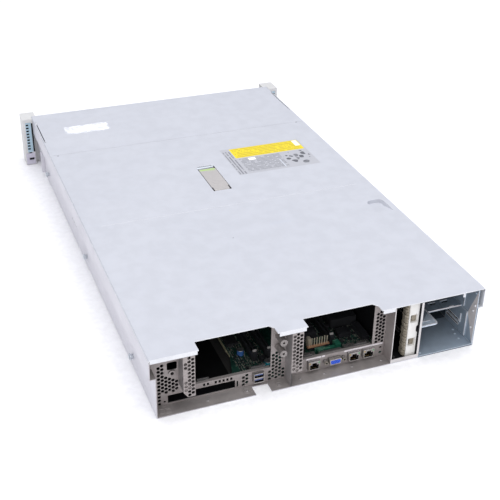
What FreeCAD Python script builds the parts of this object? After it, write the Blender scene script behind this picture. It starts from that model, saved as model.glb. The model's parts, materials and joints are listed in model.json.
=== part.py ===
import FreeCAD, Part
import math
import os

import Sketcher
from FreeCAD import Placement, Rotation, Vector

# A 2U rack server in millimetres. +Z is up, +Y is the rear, and the ears and drives face -Y.
# The origin is the middle of the footprint, on the surface that the server lies on.

SIZES = [
    # Shell
    ("body_length", 755, "rear edge of the tray to the front edge of the top"),
    ("ear_reach", 21, "ears ahead of the tray"),
    ("height", 87.3, "2U, less the play between two units"),
    ("tub_width", 434, "over the lower side walls"),
    ("wing_step", 7, "jog of each side wall"),
    ("jog_level", 58, "where the walls jog out"),
    ("ear_span", 482.6, "19 inch panel width"),
    ("gauge", 1.2, "steel sheet"),
    ("bend", 1.8, "outer radius of a fold"),
    ("small_bend", 0.7, "outer radius of a bracket's folds"),
    ("seat", 0.1, "play between fixed pieces"),
    ("gap", 0.3, "running clearance"),
    # Access panel and its latch
    ("front_panel_length", 176, "fixed panel over the drives"),
    ("panel_lip", 3, "folded side lips of both top panels"),
    ("skirt", 6, "folded rear edge of the access panel"),
    ("notch_depth", 18, "riser notches in the access panel"),
    ("guide_flange", 22, "inner side flanges of the access panel"),
    ("bead_distance", 324, "stiffening bead from the rear"),
    ("scoop_rear", 220, "finger scoop from the rear"),
    ("scoop_length", 48, "finger scoop"),
    ("scoop_width", 27, "finger scoop"),
    ("scoop_depth", 5.5, "finger scoop at its front"),
    ("scoop_side", 200.5, "middle of the scoop from the centre line"),
    ("scoop_pad", 14, "flat bottom of the scoop, front to back"),
    ("scoop_draft", 2.5, "lean of the scoop's sides"),
    ("scoop_corner", 9, "corner radius of the scoop's rim"),
    ("latch_rear", 374, "rear end of the latch recess"),
    ("latch_length", 89, "latch recess"),
    ("latch_width", 29.2, "latch recess"),
    ("latch_corner", 5, "rounded front corners of the recess"),
    ("pan_depth", 12, "latch housing under the panel"),
    ("pan_wall", 2.4, "latch housing"),
    ("lever_thick", 3, "latch lever's top plate"),
    ("pivot_drop", 6.5, "latch pivot below the top"),
    ("pivot_inset", 8.3, "latch pivot from the recess's rear end"),
    ("pivot_pin", 2, "radius of the latch trunnions"),
    ("boss", 4.2, "radius of the latch boss"),
    ("catch_drop", 8, "catch pin below the pivot"),
    ("catch_lead", 6.5, "catch pin behind the pivot, half the panel's travel"),
    ("catch_pin", 1.8, "radius of the catch pin"),
    # Rear wall
    ("wall_depth", 20, "rear wall ahead of the tray's rear edge"),
    ("ledge_level", 22, "bottom of the riser openings"),
    ("ledge_reach", 5, "ledge under the riser openings"),
    ("hex", 2.35, "corner radius of a vent hexagon"),
    ("hex_across", 4.4, "column pitch of the vents"),
    ("hex_up", 5.4, "row pitch of the vents"),
    ("left_bracket_side", 34, "left bracket from the tub's side"),
    ("bracket_width", 15, "width of both brackets"),
    ("left_opening_end", 64.5, "inner edge of the left riser opening"),
    ("centre_bracket_side", 30, "centre bracket from the centre line"),
    ("right_strip", 18, "vent strip beside the narrow bay"),
    ("adapter_side", 20, "adapter slot from the tub's side"),
    ("adapter_width", 86, "adapter slot"),
    ("adapter_low", 3, "adapter slot's lower edge"),
    ("adapter_high", 14.5, "adapter slot's upper edge"),
    ("port_reach", 5, "ports behind the rear wall"),
    ("pull_notch_side", 69.5, "notch in the floor's rear edge"),
    ("pull_notch_width", 21, "notch in the floor's rear edge"),
    ("pull_notch_depth", 16.5, "notch in the floor's rear edge"),
    ("standoff_radius", 4.7, "riser standoffs"),
    ("standoff_bore", 1.6, "riser standoffs"),
    ("standoff_side", 55, "riser standoffs"),
    ("standoff_low", 52.4, "lower riser standoff"),
    ("standoff_high", 68.5, "upper riser standoff"),
    ("standoff_length", 18, "riser standoffs"),
    # Narrow bay and power supply bay
    ("supply_width", 80, "power supply bay"),
    ("supply_depth", 198, "power supply bay"),
    ("divider", 3, "hollow divider"),
    ("narrow_width", 36.3, "narrow bay"),
    ("shelf_level", 43, "underside of the mid shelf"),
    ("shelf_setback", 33, "mid shelf from the rear"),
    ("tongue_setback", 5, "tongue of the mid shelf from the rear"),
    ("tongue_width", 29, "tongue of the mid shelf"),
    ("blank_width", 13.7, "plastic blank"),
    ("blank_setback", 4, "plastic blank from the rear"),
    ("blank_depth", 14, "plastic blank"),
    # System board
    ("board_lift", 3.2, "embossed standoffs under the board"),
    ("board", 1.6, "printed circuit board"),
    ("board_rear_length", 208, "narrow rear part of the board"),
    ("board_length", 410, "whole board"),
    ("board_rear_side", 96, "left edge of the rear part"),
    ("processor_side", 107, "processors from the centre line"),
    ("processor_distance", 340, "processors from the rear"),
    ("socket_width", 58, "processor socket"),
    ("socket_length", 78, "processor socket"),
    ("socket_height", 5, "processor socket"),
    ("sink_width", 86, "processor heatsink"),
    ("sink_length", 104, "processor heatsink"),
    ("sink_base", 5, "processor heatsink"),
    ("fin", 0.9, "heatsink fin"),
    ("fin_pitch", 4, "heatsink fins"),
    ("memory_pitch", 9, "memory slots"),
    ("memory_slot_width", 6.2, "memory slot"),
    ("memory_slot_height", 8.5, "memory slot"),
    ("memory_slot_length", 142, "memory slot"),
    ("memory_groove", 1.8, "memory slot"),
    ("module_thick", 1.3, "memory module"),
    ("module_height", 31, "memory module"),
    ("module_length", 133.4, "memory module"),
    # Fans
    ("fan_pitch", 70, "fan modules"),
    ("fan_height", 72, "fan module"),
    ("fan_depth", 38, "fan module"),
    ("fan_bore", 28.5, "radius of the fan's throat"),
    ("fan_from_hood", 80, "rear face of the fans behind the panel's front edge"),
    ("hub", 14, "radius of the rotor's hub"),
    ("hub_length", 22, "rotor's hub"),
    ("blade_tip", 25, "blade tips"),
    ("fan_shaft", 2, "radius of the fan shaft"),
    # Front
    ("cage_depth", 115, "drive cage"),
    ("cage_top_gap", 7.3, "drive cage below the top"),
    ("cell_side", 72, "walls between the three front boxes"),
    ("slot_pitch", 17.2, "drive slots"),
    ("carrier_width", 15.6, "drive carrier"),
    ("bezel_depth", 15.4, "drive carrier's front"),
    ("carrier_rail", 2.5, "drive carrier's lower rail"),
    ("carrier_length", 108, "drive carrier's rails"),
    ("disk_thick", 15, "2.5 inch drive"),
    ("disk_height", 69.9, "2.5 inch drive"),
    ("disk_length", 100, "2.5 inch drive"),
    ("small_lever", 2.2, "half thickness of a carrier's lever"),
    # Ears
    ("ear_depth", 32, "ears from front to back"),
    ("ear_height", 86.8, "ears"),
    ("ear_screw_level", 21.4, "rack screw, second hole of the rack unit"),
    ("ear_screw_spacing", 465.1, "rack screws from side to side"),
    ("ear_screw_bore", 3.3, "radius of the rack screw's hole"),
    ("ear_lever", 3.2, "half thickness of an ear's lever"),
    ("button", 4.5, "radius of the power button"),
    ("button_level", 74, "power button"),
    ("button_travel", 1.5, "power button"),
    # Rail studs
    ("stud_shank", 3, "radius of a rail stud"),
    ("stud_head", 4.75, "radius of a rail stud's head"),
    ("stud_level", 19, "rail studs"),
    ("stud_rear", 104, "rear pair of studs from the rear"),
    ("stud_middle", 363, "middle pair"),
    ("stud_front", 656, "front pair"),
    ("stop_distance", 690, "rail stops from the rear"),
    ("stop_reach", 6.5, "rail stops beside the tub"),
]

doc = FreeCAD.newDocument("RackServer")
sheet = doc.addObject("Spreadsheet::Sheet", "Sizes")
for row, (alias, value, note) in enumerate(SIZES, start=1):
    sheet.set(f"A{row}", alias)
    sheet.set(f"B{row}", str(value))
    sheet.set(f"C{row}", note)
    sheet.setAlias(f"B{row}", alias)
doc.recompute()


class Size:
    """A length and the sheet expression that drives it. Sums of sizes stay tied to their cells."""

    def __init__(self, value, text):
        self.value = float(value)
        self.text = text

    def __add__(self, other):
        return Size(self.value + number(other), f"({self.text} + {text(other)})")

    def __radd__(self, other):
        return Size(number(other) + self.value, f"({text(other)} + {self.text})")

    def __sub__(self, other):
        return Size(self.value - number(other), f"({self.text} - {text(other)})")

    def __rsub__(self, other):
        return Size(number(other) - self.value, f"({text(other)} - {self.text})")

    def __mul__(self, other):
        return Size(self.value * number(other), f"({self.text} * {text(other)})")

    def __rmul__(self, other):
        return Size(number(other) * self.value, f"({text(other)} * {self.text})")

    def __truediv__(self, other):
        return Size(self.value / number(other), f"({self.text} / {text(other)})")

    def __neg__(self):
        return Size(-self.value, f"(0 - {self.text})")


def number(value):
    """The value of a Size or a plain number."""
    return value.value if isinstance(value, Size) else float(value)


def text(value):
    """The expression of a Size or a plain number."""
    return value.text if isinstance(value, Size) else f"({float(value):.6f})"


class Cells:
    """Reads a cell of the sheet as a Size: cells.height."""

    def __getattr__(self, alias):
        return Size(sheet.get(alias), f"Sizes.{alias}")


cells = Cells()
NODES = []

# Levels and planes that many pieces share
REAR = (cells.body_length + cells.ear_reach) / 2
FRONT = REAR - cells.body_length
TUB = cells.tub_width / 2
TUB_IN = TUB - cells.gauge
WING = TUB + cells.wing_step
WING_IN = WING - cells.gauge
TOP = cells.height
UNDER = TOP - cells.gauge
LIP = TOP - cells.panel_lip
FLOOR = cells.gauge + cells.seat
BOARD_LOW = cells.gauge + cells.board_lift
BOARD_TOP = BOARD_LOW + cells.board
WALL_REAR = REAR - cells.wall_depth
WALL_FRONT = WALL_REAR - cells.gauge
HOOD_FRONT = FRONT + cells.front_panel_length
SUPPLY_RIGHT = -TUB_IN + cells.seat + cells.gauge
SUPPLY_LEFT = SUPPLY_RIGHT + cells.supply_width
NARROW_RIGHT = SUPPLY_LEFT + cells.divider
NARROW_LEFT = NARROW_RIGHT + cells.narrow_width
PANEL_RIGHT = NARROW_LEFT + cells.gauge + cells.seat
CAGE_TOP = UNDER - cells.seat * 5
PIVOT_Y = REAR - cells.latch_rear - cells.pivot_inset
PIVOT_Z = TOP - cells.pivot_drop
CATCH_Y = PIVOT_Y + cells.catch_lead
CATCH_Z = PIVOT_Z - cells.catch_drop
BRACE_TOP = CATCH_Z - 5.5
BRACE_LOW = BRACE_TOP - 6
BAFFLE_TOP = BRACE_LOW - 0.5
SINK_TOP = BAFFLE_TOP - 3
CELL_LOW = FLOOR + cells.gauge
CELL_TOP = TOP - cells.cage_top_gap - cells.gauge


def ahead(distance):
    """The place on Y that lies this far ahead of the tray's rear edge."""
    return REAR - distance


# ---------------------------------------------------------------- drawing helpers

PLANES = {"XY": ("XY_Plane", 1), "XZ": ("XZ_Plane", -1), "YZ": ("YZ_Plane", 1)}


def new_body(label, node=True):
    """An empty body. A node is written to a file of its own."""
    body = doc.addObject("PartDesign::Body", label)
    body.Label = label
    if node:
        NODES.append(body)
    return body


def new_sketch(body, plane, level, centre=None):
    """A sketch across the world axis at a level, with its own origin moved to centre."""
    role, sign = PLANES[plane]
    sketch = body.newObject("Sketcher::SketchObject", f"{body.Name}_Sketch")
    support = next(item for item in body.Origin.OriginFeatures if item.Role == role)
    sketch.AttachmentSupport = [(support, "")]
    sketch.MapMode = "FlatFace"
    across, up = centre if centre else (0, 0)
    offset = Vector(number(across), number(up), sign * number(level))
    sketch.AttachmentOffset = Placement(offset, Rotation())
    sketch.setExpression(".AttachmentOffset.Base.x", text(across))
    sketch.setExpression(".AttachmentOffset.Base.y", text(up))
    sketch.setExpression(".AttachmentOffset.Base.z", text(level if sign > 0 else -1 * level))
    return sketch


def tie(sketch, constraint, value):
    """Add a constraint with a size and bind it to the sheet."""
    index = sketch.addConstraint(Sketcher.Constraint(*constraint, number(value)))
    if isinstance(value, Size):
        sketch.setExpression(f"Constraints[{index}]", value.text)


def add_circle(sketch, x, y, radius):
    """Draw a circle that the sheet drives."""
    centre = Vector(number(x), number(y), 0)
    index = sketch.addGeometry(Part.Circle(centre, Vector(0, 0, 1), number(radius)), False)
    tie(sketch, ("DistanceX", -1, 1, index, 3), x)
    tie(sketch, ("DistanceY", -1, 1, index, 3), y)
    tie(sketch, ("Radius", index), radius)


def corner_arc(before, corner, after, radius):
    """The arc that rounds a corner: its ends, centre, and whether it turns left."""
    back = (before - corner).normalize()
    forth = (after - corner).normalize()
    half = back.getAngle(forth) / 2
    reach = radius / math.tan(half)
    centre = corner + (back + forth).normalize() * (radius / math.sin(half))
    turns_left = back.cross(forth).z < 0
    return corner + back * reach, corner + forth * reach, centre, turns_left


def add_outline(sketch, points):
    """Draw a closed outline through (x, y) or (x, y, radius), every corner tied to the sheet."""
    count = len(points)
    corners = [Vector(number(point[0]), number(point[1]), 0) for point in points]
    arrive = list(corners)
    leave = list(corners)
    arcs = {}
    for i, point in enumerate(points):
        if len(point) == 3:
            arc = corner_arc(corners[i - 1], corners[i], corners[(i + 1) % count], number(point[2]))
            arrive[i], leave[i] = arc[0], arc[1]
            arcs[i] = arc
    first = sketch.GeometryCount
    for i in range(count):
        sketch.addGeometry(Part.LineSegment(leave[i], arrive[(i + 1) % count]), False)
    for i, point in enumerate(points):
        line, previous = first + i, first + (i - 1) % count
        if i not in arcs:
            sketch.addConstraint(Sketcher.Constraint("Coincident", previous, 2, line, 1))
            tie(sketch, ("DistanceX", -1, 1, line, 1), point[0])
            tie(sketch, ("DistanceY", -1, 1, line, 1), point[1])
            continue
        start, end, centre, turns_left = arcs[i]
        circle = Part.Circle(centre, Vector(0, 0, 1), number(point[2]))
        low, high = (start, end) if turns_left else (end, start)
        angles = [math.atan2(place.y - centre.y, place.x - centre.x) for place in (low, high)]
        arc = sketch.addGeometry(Part.ArcOfCircle(circle, angles[0], angles[1]), False)
        dot = sketch.addGeometry(Part.Point(corners[i]), True)
        inward, outward = (1, 2) if turns_left else (2, 1)
        sketch.addConstraint(Sketcher.Constraint("Tangent", previous, 2, arc, inward))
        sketch.addConstraint(Sketcher.Constraint("Tangent", line, 1, arc, outward))
        tie(sketch, ("Radius", arc), point[2])
        tie(sketch, ("DistanceX", -1, 1, dot, 1), point[0])
        tie(sketch, ("DistanceY", -1, 1, dot, 1), point[1])
        sketch.addConstraint(Sketcher.Constraint("PointOnObject", dot, 1, previous))
        sketch.addConstraint(Sketcher.Constraint("PointOnObject", dot, 1, line))


def draw(sketch, loops):
    """Draw each loop: a circle (x, y, radius) or an outline."""
    for loop in loops:
        if isinstance(loop, tuple):
            add_circle(sketch, *loop)
        else:
            add_outline(sketch, loop)


def rect(x0, x1, y0, y1, radius=None):
    """A rectangle's outline, with rounded corners where radius is given."""
    corners = [(x0, y0), (x1, y0), (x1, y1), (x0, y1)]
    return [corner + (radius,) for corner in corners] if radius else corners


def mirrored(points):
    """The outline's mirror image about the upright axis, drawn the same way round."""
    return [(-1 * point[0],) + tuple(point[1:]) for point in reversed(points)]


def polygon(x, y, radius, sides):
    """A regular outline with a corner on the level of its middle."""
    turns = [math.tau * corner / sides for corner in range(sides)]
    return [(x + radius * math.cos(turn), y + radius * math.sin(turn)) for turn in turns]


def hexagon(x, y, radius):
    """A hexagon with two corners on the level of its middle."""
    return polygon(x, y, radius, 6)


def extrude(body, kind, plane, level, length, loops, centre=None):
    """A Pad or Pocket of the loops, starting at a level."""
    sketch = new_sketch(body, plane, level, centre)
    draw(sketch, loops)
    feature = body.newObject(f"PartDesign::{kind}", f"{body.Name}_{kind}")
    feature.Profile = sketch
    feature.Length = number(length)
    feature.setExpression("Length", text(length))
    body.Tip = feature
    return feature


def pad(body, plane, low, high, loops, centre=None):
    """Add material between two levels of the axis across the plane."""
    start = low if PLANES[plane][1] > 0 else high
    return extrude(body, "Pad", plane, start, high - low, loops, centre)


def pocket(body, plane, low, high, loops, centre=None):
    """Remove material between two levels of the axis across the plane."""
    start = high if PLANES[plane][1] > 0 else low
    return extrude(body, "Pocket", plane, start, high - low, loops, centre)


def row(body, feature, axis, pitch, count):
    """Repeat a feature along an axis of its own sketch."""
    pattern = body.newObject("PartDesign::LinearPattern", f"{body.Name}_Row")
    pattern.Originals = [feature]
    pattern.Direction = (feature.Profile[0], [axis])
    pattern.Occurrences = count
    pattern.Length = number(pitch * (count - 1))
    pattern.setExpression("Length", text(pitch * (count - 1)))
    body.Tip = pattern
    return pattern


def vents(pins, low, high, columns, level, count):
    """Hexagonal pins for vents: columns that start at a level of Z and repeat upwards."""
    pin = pad(pins, "XZ", low, high, [hexagon(column, level, cells.hex) for column in columns])
    pin.Refine = False
    pattern = row(pins, pin, "V_Axis", cells.hex_up, count)
    pattern.Refine = False


def new_perforated(label):
    """A node made of a plate body with a body of pins cut out of it in one go."""
    plate = new_body(f"{label}_plate", node=False)
    pins = new_body(f"{label}_pins", node=False)
    pins.AllowCompound = True
    cut = doc.addObject("Part::Cut", label)
    cut.Label = label
    cut.Base = plate
    cut.Tool = pins
    cut.Refine = False
    NODES.append(cut)
    return plate, pins


def block(label, x, y, z, node=True):
    """A plain block between pairs of levels, as a Part box."""
    box = doc.addObject("Part::Box", label)
    box.Label = label
    for axis, side, pair in (("x", "Length", x), ("y", "Width", y), ("z", "Height", z)):
        setattr(box, side, number(pair[1]) - number(pair[0]))
        box.setExpression(side, text(pair[1] - pair[0]))
        box.setExpression(f".Placement.Base.{axis}", text(pair[0]))
    if node:
        NODES.append(box)
    return box


def group(label, members):
    """One node that holds several separate, like solids."""
    compound = doc.addObject("Part::Compound", label)
    compound.Label = label
    compound.Links = members
    NODES.append(compound)
    return compound


# ---------------------------------------------------------------- shell

WING_TOP = LIP - cells.gap
JOG_LEDGE = cells.jog_level + cells.gauge
LEDGE = cells.ledge_level
BRACKET_OUT = TUB - cells.left_bracket_side
BRACKET_IN = BRACKET_OUT - cells.bracket_width
CENTRE_IN = cells.centre_bracket_side
CENTRE_OUT = CENTRE_IN + cells.bracket_width
LEFT_END = cells.left_opening_end
RIGHT_END = PANEL_RIGHT + cells.right_strip
SKIRT_LOW = TOP - cells.skirt
BRACKET_TOP = SKIRT_LOW - cells.gap
STUD_PLACES = [cells.stud_rear, cells.stud_middle, cells.stud_front]


def make_tray():
    """Floor and jogged side walls, folded from one sheet, with hex standoffs for the board."""
    body = new_body("chassis_tray")
    profile = [
        (-TUB, 0, cells.bend),
        (TUB, 0, cells.bend),
        (TUB, cells.jog_level),
        (WING, cells.jog_level, cells.bend),
        (WING, WING_TOP),
        (WING_IN, WING_TOP),
        (WING_IN, JOG_LEDGE),
        (TUB_IN, JOG_LEDGE),
        (TUB_IN, cells.gauge),
    ]
    left = [(-1 * x, z) for x, z in reversed([point[:2] for point in profile[4:]])]
    outline = profile + left + [(-WING, cells.jog_level, cells.bend), (-TUB, cells.jog_level)]
    pad(body, "XZ", FRONT, REAR, [outline])
    side = cells.pull_notch_side
    notch = rect(side, side + cells.pull_notch_width, REAR - cells.pull_notch_depth, REAR + 1)
    pocket(body, "XY", -1, 2 * cells.gauge, [notch])
    rail_slot = rect(ahead(457), ahead(428), 34, 42, 1.5)
    pocket(body, "YZ", -TUB - 1, TUB + 1, [rail_slot, (ahead(188), 39, 2)])
    rear_side = cells.board_rear_side - 16
    places = [(-rear_side, 45), (rear_side, 95), (-rear_side, 210), (rear_side, 210)]
    places += [(side, distance) for side in (TUB_IN - 6, 0, -TUB_IN + 6) for distance in (250, 420)]
    posts = [hexagon(x, ahead(distance), 4) for x, distance in places]
    pad(body, "XY", cells.gauge, BOARD_LOW, posts)
    stop = rect(TUB - 0.6, TUB + cells.stop_reach, 8, 46)
    stop_front = ahead(cells.stop_distance)
    pad(body, "XZ", stop_front, stop_front + cells.gauge, [stop, mirrored(stop)])


def lipped_profile():
    """Section of both top panels: a flat top with a short lip folded down on each side."""
    return [
        (-WING, LIP),
        (-WING_IN, LIP),
        (-WING_IN, UNDER),
        (WING_IN, UNDER),
        (WING_IN, LIP),
        (WING, LIP),
        (WING, TOP, cells.bend),
        (-WING, TOP, cells.bend),
    ]


def make_front_top_panel():
    """The fixed panel over the drives."""
    body = new_body("front_top_panel")
    pad(body, "XZ", FRONT, HOOD_FRONT - 0.5, [lipped_profile()])
    pad(body, "XZ", FRONT, FRONT + cells.gauge, [rect(-WING_IN, WING_IN, TOP - 7, UNDER)])
    slots = []
    for side in (WING - 3, 3 - WING):
        slots.append(rect(side - 0.75, side + 0.75, ahead(725), ahead(640)))
        slots.append((side, ahead(637), 1.5))
    pocket(body, "XY", UNDER - 1, TOP + 1, slots)


def make_access_panel():
    """The sliding access panel, with riser notches, rear skirts, guide flanges and a finger scoop."""
    body = new_body("access_panel")
    pad(body, "XZ", HOOD_FRONT, REAR, [lipped_profile()])
    notch = REAR - cells.notch_depth
    left_notch = [
        (LEFT_END, REAR + 1),
        (LEFT_END, REAR - 12),
        (LEFT_END + 5, notch),
        (BRACKET_IN - 4.5, notch, 2),
        (BRACKET_IN - 4.5, REAR + 1),
    ]
    right_notch = [
        (RIGHT_END + 1, REAR + 1),
        (RIGHT_END + 1, REAR - 11),
        (RIGHT_END + 6, notch),
        (CENTRE_IN - 5, notch, 2),
        (CENTRE_IN - 5, REAR + 1),
    ]
    pocket(body, "XY", UNDER - 1, TOP + 1, [left_notch, right_notch])
    skirts = [
        rect(BRACKET_IN - 3, WING_IN - 0.4, SKIRT_LOW, UNDER),
        rect(CENTRE_IN - 3, LEFT_END - 2.5, SKIRT_LOW, UNDER),
        rect(PANEL_RIGHT + cells.gap, RIGHT_END - 1, SKIRT_LOW, UNDER),
    ]
    pad(body, "XZ", REAR - cells.gauge, REAR, skirts)
    tab = SUPPLY_RIGHT + 18
    pad(body, "XZ", REAR - 4.2, REAR - 3, [rect(tab, tab + 3, TOP - 9, UNDER)])
    flange = WING - 4.5
    flanges = [
        rect(flange, flange + cells.gauge, UNDER - cells.guide_flange, UNDER),
        rect(-flange - cells.gauge, -flange, UNDER - cells.guide_flange, UNDER),
    ]
    pad(body, "XZ", HOOD_FRONT + 9, REAR - 40, flanges)
    half = cells.latch_width / 2
    latch_front = ahead(cells.latch_rear + cells.latch_length)
    recess = [
        (-half, latch_front, cells.latch_corner),
        (half, latch_front, cells.latch_corner),
        (half, ahead(cells.latch_rear)),
        (-half, ahead(cells.latch_rear)),
    ]
    pocket(body, "XY", UNDER - 1, TOP + 1, [recess])
    bead = rect(24 - WING, WING - 24, ahead(cells.bead_distance) - 0.6, ahead(cells.bead_distance) + 0.6)
    pocket(body, "XY", TOP - 0.4, TOP + 1, [bead])
    add_scoop(body)


def loft(body, kind, low, low_loop, high, high_loop):
    """Join an outline at one level of Z to an outline at a higher one."""
    sections = []
    for level, loop in ((low, low_loop), (high, high_loop)):
        sketch = new_sketch(body, "XY", level)
        draw(sketch, [loop])
        sections.append(sketch)
    feature = body.newObject(f"PartDesign::{kind}", f"{body.Name}_{kind}")
    feature.Profile = sections[0]
    feature.Sections = [sections[1]]
    feature.Ruled = True
    body.Tip = feature
    return feature


def add_scoop(body):
    """The finger scoop: a round-cornered pocket, deep at its front, ramping out to the rear."""
    front = ahead(cells.scoop_rear + cells.scoop_length)
    rear = ahead(cells.scoop_rear)
    low = TOP - cells.scoop_depth
    middle = -1 * cells.scoop_side
    half = cells.scoop_width / 2
    draft = cells.scoop_draft
    gauge = cells.gauge
    rim = cells.scoop_corner
    rim_loop = rect(middle - half, middle + half, front, rear, rim)
    pad_half = half - draft
    pad_front = front + draft / 2
    pad_rear = pad_front + cells.scoop_pad
    pad_loop = rect(middle - pad_half, middle + pad_half, pad_front, pad_rear, rim - 4)
    under_loop = rect(middle - half - gauge, middle + half + gauge, front - gauge, rear + gauge, rim)
    outer_half = pad_half + gauge
    foot_loop = rect(middle - outer_half, middle + outer_half, pad_front - gauge, pad_rear + gauge, rim - 3)
    loft(body, "AdditiveLoft", low - gauge, foot_loop, UNDER, under_loop)
    loft(body, "SubtractiveLoft", low, pad_loop, TOP, rim_loop)


def make_rear_panel():
    """The recessed rear wall: vents, riser openings with their ledges, and port cut-outs."""
    body, pins = new_perforated("rear_io_panel")
    top = UNDER - 0.4
    side = TUB_IN - cells.seat
    outline = [
        (PANEL_RIGHT, FLOOR),
        (side, FLOOR),
        (side, JOG_LEDGE + cells.seat),
        (WING_IN - cells.seat, JOG_LEDGE + cells.seat),
        (WING_IN - cells.seat, top),
        (BRACKET_IN, top),
        (BRACKET_IN, LEDGE),
        (LEFT_END, LEDGE),
        (LEFT_END, top),
        (CENTRE_IN, top),
        (CENTRE_IN, LEDGE),
        (RIGHT_END, LEDGE),
        (RIGHT_END, top),
        (PANEL_RIGHT, top),
    ]
    adapter = TUB - cells.adapter_side
    window = BRACKET_OUT + 1.5
    openings = [
        rect(adapter - cells.adapter_width, adapter, cells.adapter_low, cells.adapter_high),
        rect(window, window + 12.5, 52, 63, 2),
        rect(USB_SIDE - 0.3, USB_SIDE + USB_WIDTH + 0.3, BOARD_TOP - 0.3, BOARD_TOP + USB_HEIGHT + 0.1),
        rect(107, 109, 3.5, 12.5),
        (adapter + 4, 6, 1.5),
        (PANEL_RIGHT + 5, 6.5, 2),
        (PANEL_RIGHT + 5, 14.5, 1.5),
    ]
    for middle in NETWORK_PLACES:
        half = NETWORK_WIDTH / 2 + 0.3
        openings.append(rect(middle - half, middle + half, BOARD_TOP - 0.3, BOARD_TOP + NETWORK_HEIGHT + 0.3))
    openings.append(rect(VIDEO_PLACE - 8.9, VIDEO_PLACE + 8.9, VIDEO_LEVEL - 4.6, VIDEO_LEVEL + 4.6, 1))
    openings.append((VIDEO_PLACE - VIDEO_SCREW, VIDEO_LEVEL, 3.2))
    openings.append((VIDEO_PLACE + VIDEO_SCREW, VIDEO_LEVEL, 3.2))
    for offset in (0, 5, 10, 15, 20, 30, 35):
        openings.append(rect(114.6 + offset, 117.4 + offset, 16, 20))
    pad(body, "XZ", WALL_FRONT, WALL_REAR, [outline] + openings)
    ledges = [
        rect(LEFT_END, BRACKET_IN, LEDGE - cells.gauge, LEDGE),
        rect(RIGHT_END, CENTRE_IN, LEDGE - cells.gauge, LEDGE),
    ]
    ledge_front = WALL_REAR - cells.ledge_reach
    pad(body, "XZ", ledge_front, WALL_FRONT, ledges)
    tabs = [
        rect(BRACKET_IN - 24, BRACKET_IN - 9, LEDGE, LEDGE + 3.5),
        rect(LEFT_END + 7, LEFT_END + 24, LEDGE, LEDGE + 3.5),
        rect(CENTRE_IN - 24, CENTRE_IN - 13, LEDGE, LEDGE + 3.5),
        rect(RIGHT_END + 6, RIGHT_END + 23, LEDGE, LEDGE + 3.5),
    ]
    pad(body, "XZ", ledge_front, ledge_front + cells.gauge, tabs)
    nut = window + 6.5
    pad(body, "XZ", WALL_REAR, WALL_REAR + 1.5, [(nut, 47, 4.6)])
    low, high = WALL_FRONT - 1, WALL_REAR + 2
    pocket(body, "XZ", low, high, [(nut, 47, 2.2)])
    pitch = cells.hex_across
    outer = TUB - 9.5
    half_row = cells.hex_up / 2
    vents(pins, low, high, [outer], 3.6, 11)
    vents(pins, low, high, [outer - pitch], 3.6 + 7 * half_row, 8)
    vents(pins, low, high, [outer - 2 * pitch], 3.6 + 6 * half_row, 5)
    vents(pins, low, high, [outer - 4 * pitch], 3.6 + 6 * half_row, 4)
    vents(pins, low, high, [outer - 3 * pitch], 3.6 + 7 * half_row, 4)
    vents(pins, low, high, [outer - 5 * pitch], 3.6 + 7 * half_row, 3)
    vents(pins, low, high, [100], 4.6, 3)
    vents(pins, low, high, [95.5], 4.6 + half_row, 3)
    vents(pins, low, high, [LEFT_END - 8], 4.6, 8)
    vents(pins, low, high, [LEFT_END + 1, LEFT_END - 17], 4.6, 3)
    vents(pins, low, high, [LEFT_END - 3.5, LEFT_END - 12.5], 4.6 + half_row, 7)
    vents(pins, low, high, [CENTRE_OUT + 3], 4.6 + 11 * half_row, 3)
    strip = PANEL_RIGHT + 8
    vents(pins, low, high, [strip], LEDGE + 5, 9)
    vents(pins, low, high, [strip - pitch, strip + pitch], LEDGE + 5 - half_row, 9)


def make_bracket(label, inner, outer, deep_web):
    """A perforated channel from the tray's rear edge back to the rear wall."""
    body, pins = new_perforated(label)
    back = WALL_REAR + cells.seat
    face = REAR - cells.gauge
    channel = [
        (inner, back),
        (inner + cells.gauge, back),
        (inner + cells.gauge, face),
        (outer - cells.gauge, face),
        (outer - cells.gauge, back),
        (outer, back),
        (outer, REAR, cells.small_bend),
        (inner, REAR, cells.small_bend),
    ]
    pad(body, "XY", LEDGE, BRACKET_TOP, [channel])
    if deep_web:
        pad(body, "XY", FLOOR, LEDGE, [rect(outer - cells.gauge, outer, back, REAR - 0.5)])
    else:
        corner = [(outer - 6, LEDGE - 1), (outer + 1, LEDGE - 1), (outer + 1, LEDGE + 9)]
        pocket(body, "XZ", back - 1, REAR + 1, [corner])
    first = LEDGE + 2.8
    half_row = cells.hex_up / 2
    middle = (inner + outer) / 2
    pitch = cells.hex_across
    vents(pins, face - 1, REAR + 1, [middle], first, 11)
    vents(pins, face - 1, REAR + 1, [middle - pitch], first + half_row, 10)
    if deep_web:
        vents(pins, face - 1, REAR + 1, [middle + pitch], first + half_row, 10)
    else:
        vents(pins, face - 1, REAR + 1, [middle + pitch], first + 3 * half_row, 3)
        vents(pins, face - 1, REAR + 1, [middle + pitch], first + 15 * half_row, 2)


def make_standoffs():
    """Two threaded standoffs that the riser cage is screwed to."""
    posts = []
    for name, level in (("Standoff_Low", cells.standoff_low), ("Standoff_High", cells.standoff_high)):
        body = new_body(name, node=False)
        tip = WALL_REAR + cells.standoff_length
        pad(body, "XZ", WALL_REAR, tip, [(cells.standoff_side, level, cells.standoff_radius)])
        pocket(body, "XZ", tip - 10, tip + 1, [(cells.standoff_side, level, cells.standoff_bore)])
        posts.append(body)
    group("riser_standoffs", posts)


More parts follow.
